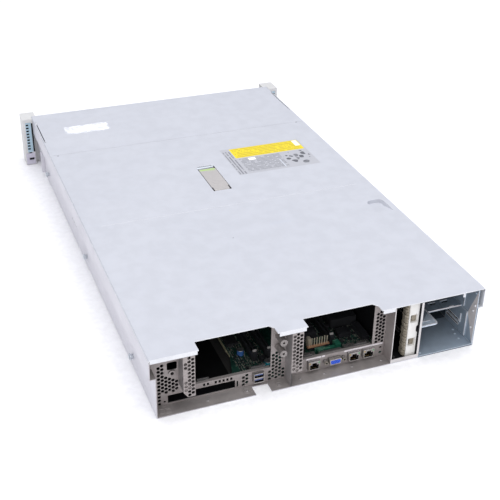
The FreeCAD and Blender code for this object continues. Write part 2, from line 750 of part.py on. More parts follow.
def make_rail_studs():
    """Shouldered studs that hook the chassis onto its rack rails, three on each side."""
    studs = []
    for number_on_side, distance in enumerate(STUD_PLACES, start=1):
        for side, name in ((1, "Left"), (-1, "Right")):
            body = new_body(f"Stud_{name}_{number_on_side}", node=False)
            place = (ahead(distance), cells.stud_level)
            neck = TUB + 3
            head = neck + 1.6
            shank = (TUB, neck) if side > 0 else (-neck, -TUB)
            cap = (neck, head) if side > 0 else (-head, -neck)
            pad(body, "YZ", *shank, [place + (cells.stud_shank,)])
            pad(body, "YZ", *cap, [place + (cells.stud_head,)])
            studs.append(body)
    group("rail_studs", studs)


# ---------------------------------------------------------------- latch

LATCH_HALF = cells.latch_width / 2
FORK_LENGTH = math.hypot(number(cells.catch_lead), number(cells.catch_drop))
FORK_Y = number(cells.catch_lead) / FORK_LENGTH
FORK_Z = -number(cells.catch_drop) / FORK_LENGTH


def make_latch_housing():
    """The pan under the panel that the latch lever lies in."""
    body = new_body("latch_housing")
    wall = cells.pan_wall
    front = ahead(cells.latch_rear + cells.latch_length)
    rear = ahead(cells.latch_rear)
    low = UNDER - cells.pan_depth
    pad(body, "XY", low, UNDER, [rect(-LATCH_HALF - wall, LATCH_HALF + wall, front - wall, rear + wall)])
    hollow = [
        (-LATCH_HALF, front, cells.latch_corner),
        (LATCH_HALF, front, cells.latch_corner),
        (LATCH_HALF, rear),
        (-LATCH_HALF, rear),
    ]
    pocket(body, "XY", low + cells.gauge, UNDER + 1, [hollow])
    slot = rect(-7.5, 7.5, PIVOT_Y - 15, rear + wall + 1)
    pocket(body, "XY", low - 1, low + 5, [slot])
    bearing = (PIVOT_Y, PIVOT_Z, cells.pivot_pin + cells.gap)
    reach = LATCH_HALF + wall - 0.8
    pocket(body, "YZ", -reach, reach, [bearing])


def fork_corner(along, across):
    """A corner of the fork, measured from the pivot along and across the fork's own direction."""
    return (
        PIVOT_Y + FORK_Y * along - FORK_Z * across,
        PIVOT_Z + FORK_Z * along + FORK_Y * across,
    )


def make_hood_latch():
    """The flush lever: its fork straddles the catch pin and pushes the panel back as it lifts."""
    body = new_body("hood_latch")
    half = LATCH_HALF - 0.6
    top = TOP - 0.4
    front = ahead(cells.latch_rear + cells.latch_length) + 10.5
    plate = [(-half, front, 3), (half, front, 3), (half, PIVOT_Y + 4), (-half, PIVOT_Y + 4)]
    pad(body, "XY", top - cells.lever_thick, top, [plate])
    pad(body, "YZ", -half, half, [(PIVOT_Y, PIVOT_Z, cells.boss)])
    reach = LATCH_HALF + cells.pan_wall - 1.1
    pad(body, "YZ", -reach, reach, [(PIVOT_Y, PIVOT_Z, cells.pivot_pin)])
    opening = cells.catch_pin + 0.7
    prong = opening + 2
    tip = FORK_LENGTH + 1.7
    outer = [fork_corner(2, -prong), fork_corner(tip, -prong), fork_corner(tip, prong), fork_corner(2, prong)]
    pad(body, "YZ", -3.5, 3.5, [outer])
    inner = [
        fork_corner(5.3, -opening),
        fork_corner(tip + 1, -opening),
        fork_corner(tip + 1, opening),
        fork_corner(5.3, opening),
    ]
    pocket(body, "YZ", -4, 4, [inner])
    rib = rect(front + 6, PIVOT_Y, top - cells.lever_thick - 2.5, top - cells.lever_thick)
    pad(body, "YZ", half - 2, half, [rib])
    pad(body, "YZ", -half, 2 - half, [rib])


def make_cross_brace():
    """A channel from wall to wall over the heatsinks, carrying the catch pin of the latch."""
    body = new_body("cross_brace")
    front, rear = CATCH_Y - 12, CATCH_Y + 12
    end = TUB + 1
    gauge = cells.gauge
    channel = [
        (front, BRACE_LOW),
        (front + gauge, BRACE_LOW),
        (front + gauge, BRACE_TOP - gauge),
        (rear - gauge, BRACE_TOP - gauge),
        (rear - gauge, BRACE_LOW),
        (rear, BRACE_LOW),
        (rear, BRACE_TOP),
        (front, BRACE_TOP),
    ]
    pad(body, "YZ", -end, end, [channel])
    foot = rect(front, rear, JOG_LEDGE + cells.seat, BRACE_TOP - gauge)
    pad(body, "YZ", end - gauge, end, [foot])
    pad(body, "YZ", -end, gauge - end, [foot])
    ear = rect(CATCH_Y - 3, CATCH_Y + 3, BRACE_TOP, CATCH_Z + 2.1)
    pad(body, "YZ", 5, 6.2, [ear])
    pad(body, "YZ", -6.2, -5, [ear])
    pad(body, "YZ", -6.2, 6.2, [(CATCH_Y, CATCH_Z, cells.catch_pin)])


# ---------------------------------------------------------------- narrow bay and power supply bay

BAY_FLOOR = FLOOR + cells.gauge
SHELF_TOP = cells.shelf_level + 1


def make_bay_wall():
    """Left wall, floor and rear flange of the narrow bay."""
    body = new_body("bay_wall")
    left = NARROW_LEFT + cells.gauge
    right = NARROW_RIGHT + cells.seat
    profile = [
        (right, FLOOR),
        (left, FLOOR),
        (left, CAGE_TOP),
        (NARROW_LEFT, CAGE_TOP),
        (NARROW_LEFT, BAY_FLOOR),
        (right, BAY_FLOOR),
    ]
    pad(body, "XZ", ahead(cells.supply_depth), REAR, [profile])
    pad(body, "XZ", REAR - cells.gauge, REAR, [rect(right, NARROW_LEFT, BAY_FLOOR, 6)])


def make_psu_cage():
    """Divider, floor, right liner, mid shelf and tongue of the power supply bay."""
    body = new_body("psu_cage")
    front = ahead(cells.supply_depth)
    outer = SUPPLY_RIGHT - cells.gauge
    profile = [
        (outer, FLOOR),
        (NARROW_RIGHT, FLOOR),
        (NARROW_RIGHT, CAGE_TOP),
        (SUPPLY_LEFT, CAGE_TOP),
        (SUPPLY_LEFT, BAY_FLOOR),
        (SUPPLY_RIGHT, BAY_FLOOR),
        (SUPPLY_RIGHT, CAGE_TOP),
        (outer, CAGE_TOP),
    ]
    pad(body, "XZ", front, REAR, [profile])
    shelf_rear = ahead(cells.shelf_setback)
    pad(body, "XZ", front, shelf_rear, [rect(SUPPLY_RIGHT, SUPPLY_LEFT, cells.shelf_level, SHELF_TOP)])
    tongue_rear = ahead(cells.tongue_setback)
    tongue_side = SUPPLY_LEFT - cells.tongue_width
    tongue = [
        (tongue_side, shelf_rear),
        (SUPPLY_LEFT, shelf_rear),
        (SUPPLY_LEFT, tongue_rear),
        (tongue_side, tongue_rear, 6),
    ]
    pad(body, "XY", cells.shelf_level, SHELF_TOP, [tongue])
    hem = rect(SUPPLY_RIGHT, tongue_side, cells.shelf_level - 1.2, cells.shelf_level)
    pad(body, "XZ", shelf_rear - 1, shelf_rear, [hem])
    rib = rect(SUPPLY_RIGHT, SUPPLY_RIGHT + 1, BAY_FLOOR + 2, cells.shelf_level - 1.2)
    pad(body, "XZ", front, ahead(18), [rib])
    slots = [rect(ahead(62), ahead(34), level, level + 2.5) for level in (12, 18)]
    pocket(body, "YZ", SUPPLY_RIGHT, SUPPLY_RIGHT + 2, slots)


def make_bay_blank():
    """The moulded blank that fills the right side of the narrow bay."""
    body = new_body("bay_blank")
    right = NARROW_RIGHT + 0.6
    left = right + cells.blank_width
    low = BAY_FLOOR + cells.seat
    high = CAGE_TOP - 1.6
    rear = ahead(cells.blank_setback)
    front = rear - cells.blank_depth
    pad(body, "XZ", front, rear, [rect(right, left, low, high, 0.8)])
    pocket(body, "XZ", front - 1, rear - 6, [rect(right + 1.5, left - 1.5, low + 1.5, high - 1.5)])
    windows = [rect(right + 2, left - 2, 18.7, 31.7), rect(right + 2, left - 2, 54.7, 67.7)]
    pocket(body, "XZ", rear - 4.5, rear + 1, windows)
    step = [(right - 1, 38), (right + 2.2, 41), (right + 2.2, 48), (right - 1, 51)]
    pocket(body, "XZ", rear - 3, rear + 1, [step])


def make_power_backplane():
    """The board at the end of the supply bay, with one blade connector for each supply."""
    body = new_body("power_backplane")
    rear = ahead(cells.supply_depth) - cells.gap
    front = rear - cells.board
    outer = SUPPLY_RIGHT - cells.gauge
    pad(body, "XZ", front, rear, [rect(outer, NARROW_LEFT, FLOOR, CAGE_TOP - 2, 2)])
    middle = (SUPPLY_RIGHT + SUPPLY_LEFT) / 2
    shells = [rect(middle - 22, middle + 22, level, level + 12) for level in (14, 56)]
    pad(body, "XZ", rear, rear + 12, shells)
    slots = [rect(middle - 19, middle + 19, level + 4, level + 8) for level in (14, 56)]
    pocket(body, "XZ", rear + 3, rear + 13, slots)


# ---------------------------------------------------------------- system board

def make_system_board():
    """The main board: narrow between the bays at the rear, full width under the processors."""
    body = new_body("system_board")
    right = PANEL_RIGHT + cells.gap
    left = cells.board_rear_side
    rear = WALL_FRONT - cells.gap
    middle = rear - cells.board_rear_length
    front = rear - cells.board_length
    side = TUB_IN - 1
    outline = [
        (right, rear),
        (right, middle),
        (-side, middle),
        (-side, front),
        (side, front),
        (side, middle),
        (left, middle),
        (left, ahead(79)),
        (left + 11, ahead(41)),
        (left + 11, rear),
    ]
    pad(body, "XY", BOARD_LOW, BOARD_TOP, [outline])


SOCKET_TOP = BOARD_TOP + cells.socket_height
SINK_LOW = SOCKET_TOP + cells.seat


def make_processors():
    """Processor sockets and the finned heatsinks that are screwed down on them."""
    sockets = []
    sinks = []
    half = cells.sink_width / 2
    for side, name in ((1, "Left"), (-1, "Right")):
        middle = side * cells.processor_side
        row_y = ahead(cells.processor_distance)
        width, length = cells.socket_width / 2, cells.socket_length / 2
        spans = ((middle - width, middle + width), (row_y - length, row_y + length), (BOARD_TOP, SOCKET_TOP))
        sockets.append(block(f"Socket_{name}", *spans, node=False))
        body = new_body(f"Heatsink_{name}", node=False)
        front = row_y - cells.sink_length / 2
        rear = row_y + cells.sink_length / 2
        base_top = SINK_LOW + cells.sink_base
        pad(body, "XZ", front, rear, [rect(middle - half, middle + half, SINK_LOW, base_top)])
        fin_side = middle - half
        fin = pad(body, "XZ", front, rear, [rect(fin_side, fin_side + cells.fin, base_top, SINK_TOP)])
        count = int(number(cells.sink_width - cells.fin) / number(cells.fin_pitch)) + 1
        row(body, fin, "H_Axis", cells.fin_pitch, count)
        sinks.append(body)
    group("cpu_sockets", sockets)
    group("heatsinks", sinks)


def make_memory():
    """Four banks of six memory slots beside the processors, two modules in each bank."""
    banks = []
    modules = []
    slot_top = BOARD_TOP + cells.memory_slot_height
    groove_low = BOARD_TOP + 3
    row_y = ahead(cells.processor_distance)
    front = row_y - cells.memory_slot_length / 2
    rear = row_y + cells.memory_slot_length / 2
    groove = cells.memory_groove / 2
    width = cells.memory_slot_width / 2
    clear = cells.sink_width / 2 + 9
    for side in (1, -1):
        for outward in (1, -1):
            first = side * cells.processor_side + outward * clear
            lowest = first if outward > 0 else first - 5 * cells.memory_pitch
            body = new_body(f"Memory_Bank_{len(banks) + 1}", node=False)
            body.AllowCompound = True
            slot = [
                (lowest - width, BOARD_TOP),
                (lowest + width, BOARD_TOP),
                (lowest + width, slot_top),
                (lowest + groove, slot_top),
                (lowest + groove, groove_low),
                (lowest - groove, groove_low),
                (lowest - groove, slot_top),
                (lowest - width, slot_top),
            ]
            row(body, pad(body, "XZ", front, rear, [slot]), "H_Axis", cells.memory_pitch, 6)
            banks.append(body)
            for place in (1, 4):
                middle = lowest + place * cells.memory_pitch
                half = cells.module_thick / 2
                length = cells.module_length / 2
                low = groove_low + cells.seat
                spans = (
                    (middle - half, middle + half),
                    (row_y - length, row_y + length),
                    (low, low + cells.module_height),
                )
                modules.append(block(f"Module_{len(modules) + 1}", *spans, node=False))
    group("memory_slots", banks)
    group("memory_modules", modules)


def make_board_parts():
    """Riser slots, power header, capacitors, chipset heatsink and coin cell."""
    slots = []
    for middle in (70, 50, -38):
        body = new_body(f"Riser_Slot_{len(slots) + 1}", node=False)
        profile = [
            (middle - 3.8, BOARD_TOP),
            (middle + 3.8, BOARD_TOP),
            (middle + 3.8, BOARD_TOP + 11),
            (middle + 1, BOARD_TOP + 11),
            (middle + 1, BOARD_TOP + 3),
            (middle - 1, BOARD_TOP + 3),
            (middle - 1, BOARD_TOP + 11),
            (middle - 3.8, BOARD_TOP + 11),
        ]
        pad(body, "XZ", ahead(150), ahead(62), [profile])
        slots.append(body)
    group("riser_slots", slots)

    header = new_body("power_connector")
    pad(header, "XY", BOARD_TOP, BOARD_TOP + 15, [rect(-14, -3, ahead(72), ahead(52))])
    pocket(header, "XY", BOARD_TOP + 4, BOARD_TOP + 16, [rect(-12.5, -4.5, ahead(70.5), ahead(53.5))])

    cans = []
    for x, distance, radius, tall in ((84, 72, 3.6, 11), (58, 44, 4, 8), (24, 60, 3.2, 9), (32, 60, 3.2, 9)):
        can = doc.addObject("Part::Cylinder", f"Can_{len(cans) + 1}")
        can.Radius = radius
        can.Height = tall
        can.setExpression(".Placement.Base.x", text(x))
        can.setExpression(".Placement.Base.y", text(ahead(distance)))
        can.setExpression(".Placement.Base.z", text(BOARD_TOP))
        cans.append(can)
    group("board_capacitors", cans)

    sink = new_body("chipset_heatsink")
    sink_front, sink_rear = ahead(200), ahead(160)
    base_top = BOARD_TOP + 3
    pad(sink, "XZ", sink_front, sink_rear, [rect(-20, 20, BOARD_TOP, base_top)])
    fin = pad(sink, "XZ", sink_front, sink_rear, [rect(-20, -18.6, base_top, BOARD_TOP + 18)])
    row(sink, fin, "H_Axis", Size(4.825, "4.825"), 9)

    cell = new_body("coin_cell")
    pad(cell, "XY", BOARD_TOP, BOARD_TOP + 2, [rect(-74, -52, ahead(186), ahead(164), 2)])
    pad(cell, "XY", BOARD_TOP + 2, BOARD_TOP + 4.4, [(-63, ahead(175), 10)])

    spans = ((cells.board_rear_side + 12, TUB_IN - 2), (ahead(226), WALL_FRONT - 0.5), (FLOOR, FLOOR + 0.4))
    block("insulator_sheet", *spans)


# ---------------------------------------------------------------- ports

NETWORK_PLACES = (6.3, -49.6, -70)
NETWORK_WIDTH = 15.6
NETWORK_HEIGHT = 13.2
VIDEO_PLACE = -22.6
VIDEO_SCREW = 12.5
VIDEO_LEVEL = BOARD_TOP + 6.3
USB_SIDE = 74.4
USB_WIDTH = 13.6
USB_HEIGHT = 14.4
PORT_REAR = WALL_REAR + cells.port_reach


def make_ports():
    """The sockets that come out through the rear wall."""
    sockets = []
    for middle in NETWORK_PLACES:
        body = new_body(f"Network_{len(sockets) + 1}", node=False)
        half = NETWORK_WIDTH / 2
        low = BOARD_TOP
        shell = rect(middle - half, middle + half, low, low + NETWORK_HEIGHT, 0.6)
        pad(body, "XZ", PORT_REAR - 21, PORT_REAR, [shell])
        mouth = [
            (middle - 5.9, low + 1.2),
            (middle + 5.9, low + 1.2),
            (middle + 5.9, low + 8),
            (middle + 3, low + 8),
            (middle + 3, low + 10.6),
            (middle - 3, low + 10.6),
            (middle - 3, low + 8),
            (middle - 5.9, low + 8),
        ]
        pocket(body, "XZ", PORT_REAR - 14, PORT_REAR + 1, [mouth])
        sockets.append(body)
    group("network_sockets", sockets)

    video = new_body("video_connector")
    flange = rect(VIDEO_PLACE - 15.4, VIDEO_PLACE + 15.4, BOARD_TOP, BOARD_TOP + 12.5)
    pad(video, "XZ", WALL_FRONT - 12, WALL_FRONT - 0.3, [flange])
    shell = [
        (VIDEO_PLACE - 7.3, VIDEO_LEVEL - 4.1, 1.5),
        (VIDEO_PLACE + 7.3, VIDEO_LEVEL - 4.1, 1.5),
        (VIDEO_PLACE + 8.4, VIDEO_LEVEL + 4.1, 1.5),
        (VIDEO_PLACE - 8.4, VIDEO_LEVEL + 4.1, 1.5),
    ]
    pad(video, "XZ", WALL_FRONT - 1, PORT_REAR, [shell])
    nuts = [hexagon(VIDEO_PLACE + side, VIDEO_LEVEL, 2.9) for side in (-VIDEO_SCREW, VIDEO_SCREW)]
    pad(video, "XZ", WALL_FRONT - 1, PORT_REAR - 1, nuts)

    usb = new_body("usb_sockets")
    right = USB_SIDE + USB_WIDTH
    pad(usb, "XZ", PORT_REAR - 17, PORT_REAR, [rect(USB_SIDE, right, BOARD_TOP, BOARD_TOP + USB_HEIGHT, 0.5)])
    mouths = [
        rect(USB_SIDE + 0.7, right - 0.7, BOARD_TOP + level, BOARD_TOP + level + 5.3) for level in (1, 8.1)
    ]
    pocket(usb, "XZ", PORT_REAR - 12, PORT_REAR + 1, mouths)
    tongues = [
        rect(USB_SIDE + 1.4, right - 1.4, BOARD_TOP + level, BOARD_TOP + level + 1.9) for level in (3.7, 10.8)
    ]
    pad(usb, "XZ", PORT_REAR - 12, PORT_REAR - 1, tongues)


# ---------------------------------------------------------------- air path

def make_baffle():
    """The moulded air guide: high over the heatsinks, low over the memory."""
    body = new_body("air_baffle")
    wall = 1.5
    low = BOARD_TOP + cells.gap
    step = BOARD_TOP + 38
    side = TUB_IN - 1.2
    near = cells.processor_side - cells.sink_width / 2 - 6
    far = cells.processor_side + cells.sink_width / 2 + 6
    half = [(near - 6, step), (near, BAFFLE_TOP), (far, BAFFLE_TOP), (far + 6, step), (side, step), (side, low)]
    thin = [
        (side - wall, low),
        (side - wall, step - wall),
        (far + 6 - wall, step - wall),
        (far - wall, BAFFLE_TOP - wall),
        (near + wall, BAFFLE_TOP - wall),
        (near - 6 + wall, step - wall),
    ]
    profile = mirrored(half) + half + thin + mirrored(thin)
    pad(body, "XZ", ahead(425), ahead(262), [profile])


FAN_REAR = HOOD_FRONT + cells.fan_from_hood
FAN_FRONT = FAN_REAR - cells.fan_depth
FAN_LOW = FLOOR + cells.gauge
FAN_MIDDLE = FAN_LOW + cells.fan_height / 2
FAN_PLACES = [cells.fan_pitch * step for step in (-2.5, -1.5, -0.5, 0.5, 1.5, 2.5)]


def make_fan_cage():
    """Base and uprights between which the six fans drop in."""
    body = new_body("fan_cage")
    front, rear = FAN_FRONT - 3, FAN_REAR + 3
    edge = cells.fan_pitch * 3 + 3
    pad(body, "XZ", front, rear, [rect(-edge, edge, FLOOR, FAN_LOW)])
    first = -3 * cells.fan_pitch - cells.gauge / 2
    upright = pad(body, "XZ", front, rear, [rect(first, first + cells.gauge, FAN_LOW, TOP - 6)])
    row(body, upright, "H_Axis", cells.fan_pitch, 7)


def make_fans():
    """Six fan modules. Each rotor turns on the shaft of its own frame."""
    frames = []
    for index, place in enumerate(FAN_PLACES, start=1):
        centre = (place, FAN_MIDDLE)
        frame = new_body(f"Fan_Frame_{index}", node=False)
        half = (cells.fan_pitch - cells.gauge) / 2 - cells.gap
        tall = cells.fan_height / 2
        corner = [(half, tall - 4), (half - 4, tall)]
        upper = mirrored(corner)
        outline = [(x, -1 * y) for x, y in reversed(corner)] + corner + upper
        outline += [(x, -1 * y) for x, y in reversed(upper)]
        pad(frame, "XZ", FAN_FRONT, FAN_REAR, [outline], centre)
        pocket(frame, "XZ", FAN_FRONT - 1, FAN_REAR + 1, [(0, 0, cells.fan_bore)], centre)
        spoke = cells.fan_bore + 1
        motor = FAN_REAR - 3
        pad(frame, "XZ", motor, FAN_REAR, [(0, 0, cells.hub)], centre)
        pad(frame, "XZ", motor, FAN_REAR, [rect(-spoke, spoke, -1.5, 1.5)], centre)
        pad(frame, "XZ", motor, FAN_REAR, [rect(-1.5, 1.5, -spoke, spoke)], centre)
        pad(frame, "XZ", motor - 14, motor, [(0, 0, cells.fan_shaft)], centre)
        handle = rect(-14, 14, tall, tall + 5)
        pad(frame, "XZ", FAN_REAR - 6, FAN_REAR - 3, [handle], centre)
        frames.append(frame)
        make_rotor(index, centre, motor - cells.gap)
    group("fan_frames", frames)


def make_rotor(index, centre, rear):
    """A rotor: a hub that is bored for its shaft, and seven pitched blades."""
    rotor = new_body(f"fan_rotor_{index}")
    front = rear - cells.hub_length
    pad(rotor, "XZ", front, rear, [polygon(0, 0, cells.hub, 14)], centre)
    bore = pocket(rotor, "XZ", rear - 15, rear + 1, [(0, 0, cells.fan_shaft + cells.gap)], centre)
    root = cells.hub - 1.5
    section = (centre[0], (front + rear) / 2)
    lean = math.radians(36)
    along = (8 * math.cos(lean), 8 * math.sin(lean))
    thick = (0.7 * math.sin(lean), -0.7 * math.cos(lean))
    outline = [
        (along[0] - thick[0], along[1] - thick[1]),
        (along[0] + thick[0], along[1] + thick[1]),
        (thick[0] - along[0], thick[1] - along[1]),
        (-along[0] - thick[0], -along[1] - thick[1]),
    ]
    blade = pad(rotor, "XY", centre[1] + root, centre[1] + cells.blade_tip, [outline], section)
    ring = rotor.newObject("PartDesign::PolarPattern", f"Blades_{index}")
    ring.Originals = [blade]
    ring.Axis = (bore.Profile[0], ["N_Axis"])
    ring.Angle = 360
    ring.Occurrences = 7
    rotor.Tip = ring


# ---------------------------------------------------------------- front

CAGE_REAR = FRONT + cells.cage_depth
BEZEL_FRONT = FRONT - cells.seat * 5 - cells.bezel_depth
BEZEL_REAR = FRONT - cells.seat * 5
BEZEL_LOW = CELL_LOW + cells.gap
BEZEL_TOP = CELL_TOP - cells.gap
CELL_IN = cells.cell_side + cells.gauge / 2
CELL_OUT = TUB_IN - cells.seat * 2 - cells.gauge
SLOT_FIRST = (CELL_IN + CELL_OUT) / 2 - 3.5 * cells.slot_pitch
RAIL_TOP = BEZEL_LOW + cells.carrier_rail
DISK_LOW = RAIL_TOP + cells.seat
DISK_TOP = DISK_LOW + cells.disk_height
LEVER_Y = BEZEL_FRONT + cells.small_lever + cells.seat
LEVER_Z = BEZEL_LOW + 9


def make_drive_cage():
    """A three-cell cage, open at the front and the rear."""
    body = new_body("drive_cage")
    outer = TUB_IN - cells.seat * 2
    middle = cells.cell_side - cells.gauge / 2
    loops = [
        rect(-outer, outer, FLOOR, CELL_TOP + cells.gauge),
        rect(CELL_IN, CELL_OUT, CELL_LOW, CELL_TOP),
        rect(-middle, middle, CELL_LOW, CELL_TOP),
        rect(-CELL_OUT, -CELL_IN, CELL_LOW, CELL_TOP),
    ]
    pad(body, "XZ", FRONT, CAGE_REAR, loops)


def make_drive_backplane():
    """The board behind the drives, with a connector for each of its eight slots."""
    body = new_body("drive_backplane")
    rear = CAGE_REAR - 2
    front = rear - cells.board
    pad(body, "XZ", front, rear, [rect(CELL_IN + 0.3, CELL_OUT - 0.3, CELL_LOW + 0.3, CELL_TOP - 0.3)])
    disk_rear = BEZEL_REAR + cells.disk_length + cells.seat
    first = SLOT_FIRST - 3
    socket = rect(first, first + 6, DISK_LOW + 8, DISK_LOW + 50)
    connector = pad(body, "XZ", disk_rear + cells.gap, front, [socket])
    row(body, connector, "H_Axis", cells.slot_pitch, 8)


def make_drive(slot):
    """A drive carrier with its disk and its swing-out lever."""
    place = SLOT_FIRST + (slot - 1) * cells.slot_pitch
    half = cells.carrier_width / 2
    rails_rear = BEZEL_REAR + cells.carrier_length

    carrier = new_body(f"drive_carrier_{slot}")
    pad(carrier, "XZ", BEZEL_FRONT, BEZEL_REAR, [rect(place - half, place + half, BEZEL_LOW, BEZEL_TOP, 1)])
    rails = [
        rect(place - half, place + half, BEZEL_LOW, RAIL_TOP),
        rect(place - half, place + half, DISK_TOP + cells.seat, BEZEL_TOP),
    ]
    pad(carrier, "XZ", BEZEL_REAR, rails_rear, rails)
    lever_half = half - 2.4
    recess = rect(place - lever_half - cells.gap, place + lever_half + cells.gap, LEVER_Z - 2.5, BEZEL_TOP - 8)
    pocket(carrier, "XZ", BEZEL_FRONT - 1, BEZEL_FRONT + 6, [recess])
    vent_low = BEZEL_TOP - 6.5
    holes = [rect(place + shift - 1.1, place + shift + 1.1, vent_low, vent_low + 4) for shift in (-4.2, 0, 4.2)]
    pocket(carrier, "XZ", BEZEL_FRONT - 1, BEZEL_FRONT + 4, holes)

    lever = new_body(f"carrier_lever_{slot}")
    thick = cells.small_lever
    lever_top = BEZEL_TOP - 8.4
    arm = [
        (LEVER_Y - thick, LEVER_Z),
        (LEVER_Y + thick, LEVER_Z),
        (LEVER_Y + thick, lever_top - 6),
        (LEVER_Y, lever_top),
        (LEVER_Y - thick, lever_top),
    ]
    pad(lever, "YZ", place - lever_half, place + lever_half, [arm])
    pad(lever, "YZ", place - lever_half, place + lever_half, [(LEVER_Y, LEVER_Z, thick)])
    grips = [rect(place - 3, place + 3, lever_top - 20 + step, lever_top - 18.5 + step) for step in (0, 4, 8)]
    pocket(lever, "XZ", LEVER_Y - thick - 1, LEVER_Y - thick + 0.8, grips)

    disk_half = cells.disk_thick / 2
    disk_front = BEZEL_REAR + cells.seat
    spans = (
        (place - disk_half, place + disk_half),
        (disk_front, disk_front + cells.disk_length),
        (DISK_LOW, DISK_TOP),
    )
    block(f"disk_drive_{slot}", *spans)


def make_drive_blanks():
    """Moulded blanks in the four empty drive slots."""
    blanks = []
    for slot in (5, 6, 7, 8):
        place = SLOT_FIRST + (slot - 1) * cells.slot_pitch
        half = cells.carrier_width / 2
        body = new_body(f"Blank_{slot}", node=False)
        pad(body, "XZ", BEZEL_FRONT, FRONT + 30, [rect(place - half, place + half, BEZEL_LOW, BEZEL_TOP)])
        inner = half - 1.5
        hollow = rect(place - inner, place + inner, BEZEL_LOW + 1.5, BEZEL_TOP - 1.5)
        pocket(body, "XZ", BEZEL_FRONT + 3, FRONT + 31, [hollow])
        level = BEZEL_LOW + 8
        slit = pocket(body, "XZ", BEZEL_FRONT - 1, BEZEL_FRONT + 4, [rect(place - 5, place + 5, level, level + 4)])
        row(body, slit, "V_Axis", Size(10, "10"), 6)
        blanks.append(body)
    group("drive_blanks", blanks)


def make_front_boxes():
    """The blank of the middle box and the media module of the right one."""
    middle = cells.cell_side - cells.gauge / 2 - cells.gap
    blank = new_body("box_blank")
    pad(blank, "XZ", BEZEL_FRONT, FRONT + 20, [rect(-middle, middle, BEZEL_LOW, BEZEL_TOP, 1)])
    inside = rect(2 - middle, middle - 2, BEZEL_LOW + 2, BEZEL_TOP - 2)
    pocket(blank, "XZ", BEZEL_FRONT + 3, FRONT + 21, [inside])
    level = BEZEL_LOW + 10
    slits = [rect(side - 20, side + 20, level, level + 4) for side in (-44, 0, 44)]
    slit = pocket(blank, "XZ", BEZEL_FRONT - 1, BEZEL_FRONT + 4, slits)
    row(blank, slit, "V_Axis", Size(9, "9"), 7)

    media = new_body("media_module")
    right, left = -CELL_OUT + cells.gap, -CELL_IN - cells.gap
    pad(media, "XZ", BEZEL_FRONT, FRONT + 90, [rect(right, left, BEZEL_LOW, BEZEL_TOP, 1)])
    tray_low = BEZEL_TOP - 20
    face = [rect(right + 5, left - 5, tray_low, tray_low + 13)]
    pocket(media, "XZ", BEZEL_FRONT - 1, BEZEL_FRONT + 1, face)
    pad(media, "XZ", BEZEL_FRONT + 0.4, BEZEL_FRONT + 2, [rect(right + 5.5, left - 5.5, tray_low + 0.5, tray_low + 12.5)])
    ports = [rect(left - 36 + step, left - 22.8 + step, BEZEL_LOW + 10, BEZEL_LOW + 15.4) for step in (0, 17)]
    pocket(media, "XZ", BEZEL_FRONT - 1, BEZEL_FRONT + 12, ports)
    tongues = [rect(left - 35 + step, left - 23.8 + step, BEZEL_LOW + 12.7, BEZEL_LOW + 14.6) for step in (0, 17)]
    pad(media, "XZ", BEZEL_FRONT + 1, BEZEL_FRONT + 12, tongues)
    low = BEZEL_LOW + 22
    grille = pocket(media, "XZ", BEZEL_FRONT - 1, BEZEL_FRONT + 8, [rect(right + 8, right + 60, low, low + 3)])
    row(media, grille, "V_Axis", Size(6.5, "6.5"), 5)


# ---------------------------------------------------------------- ears

EAR_OUT = cells.ear_span / 2
EAR_FRONT = FRONT - cells.ear_reach
EAR_REAR = EAR_FRONT + cells.ear_depth
EAR_LOW = Size(0.5, "0.5")
EAR_TOP = EAR_LOW + cells.ear_height - 0.5
EAR_IN = TUB - 0.5
SCREW_SIDE = cells.ear_screw_spacing / 2
EAR_PIVOT_X = EAR_IN + 6.3
EAR_PIVOT_Y = EAR_FRONT + cells.ear_lever + cells.seat
EAR_LEVER_LOW = EAR_LOW + 12
EAR_LEVER_TOP = EAR_LOW + 62


def side_rect(side, near, far, low, high, radius=None):
    """A rectangle between two distances from the centre line, on either side of it."""
    outline = rect(near, far, low, high, radius)
    return outline if side > 0 else mirrored(outline)


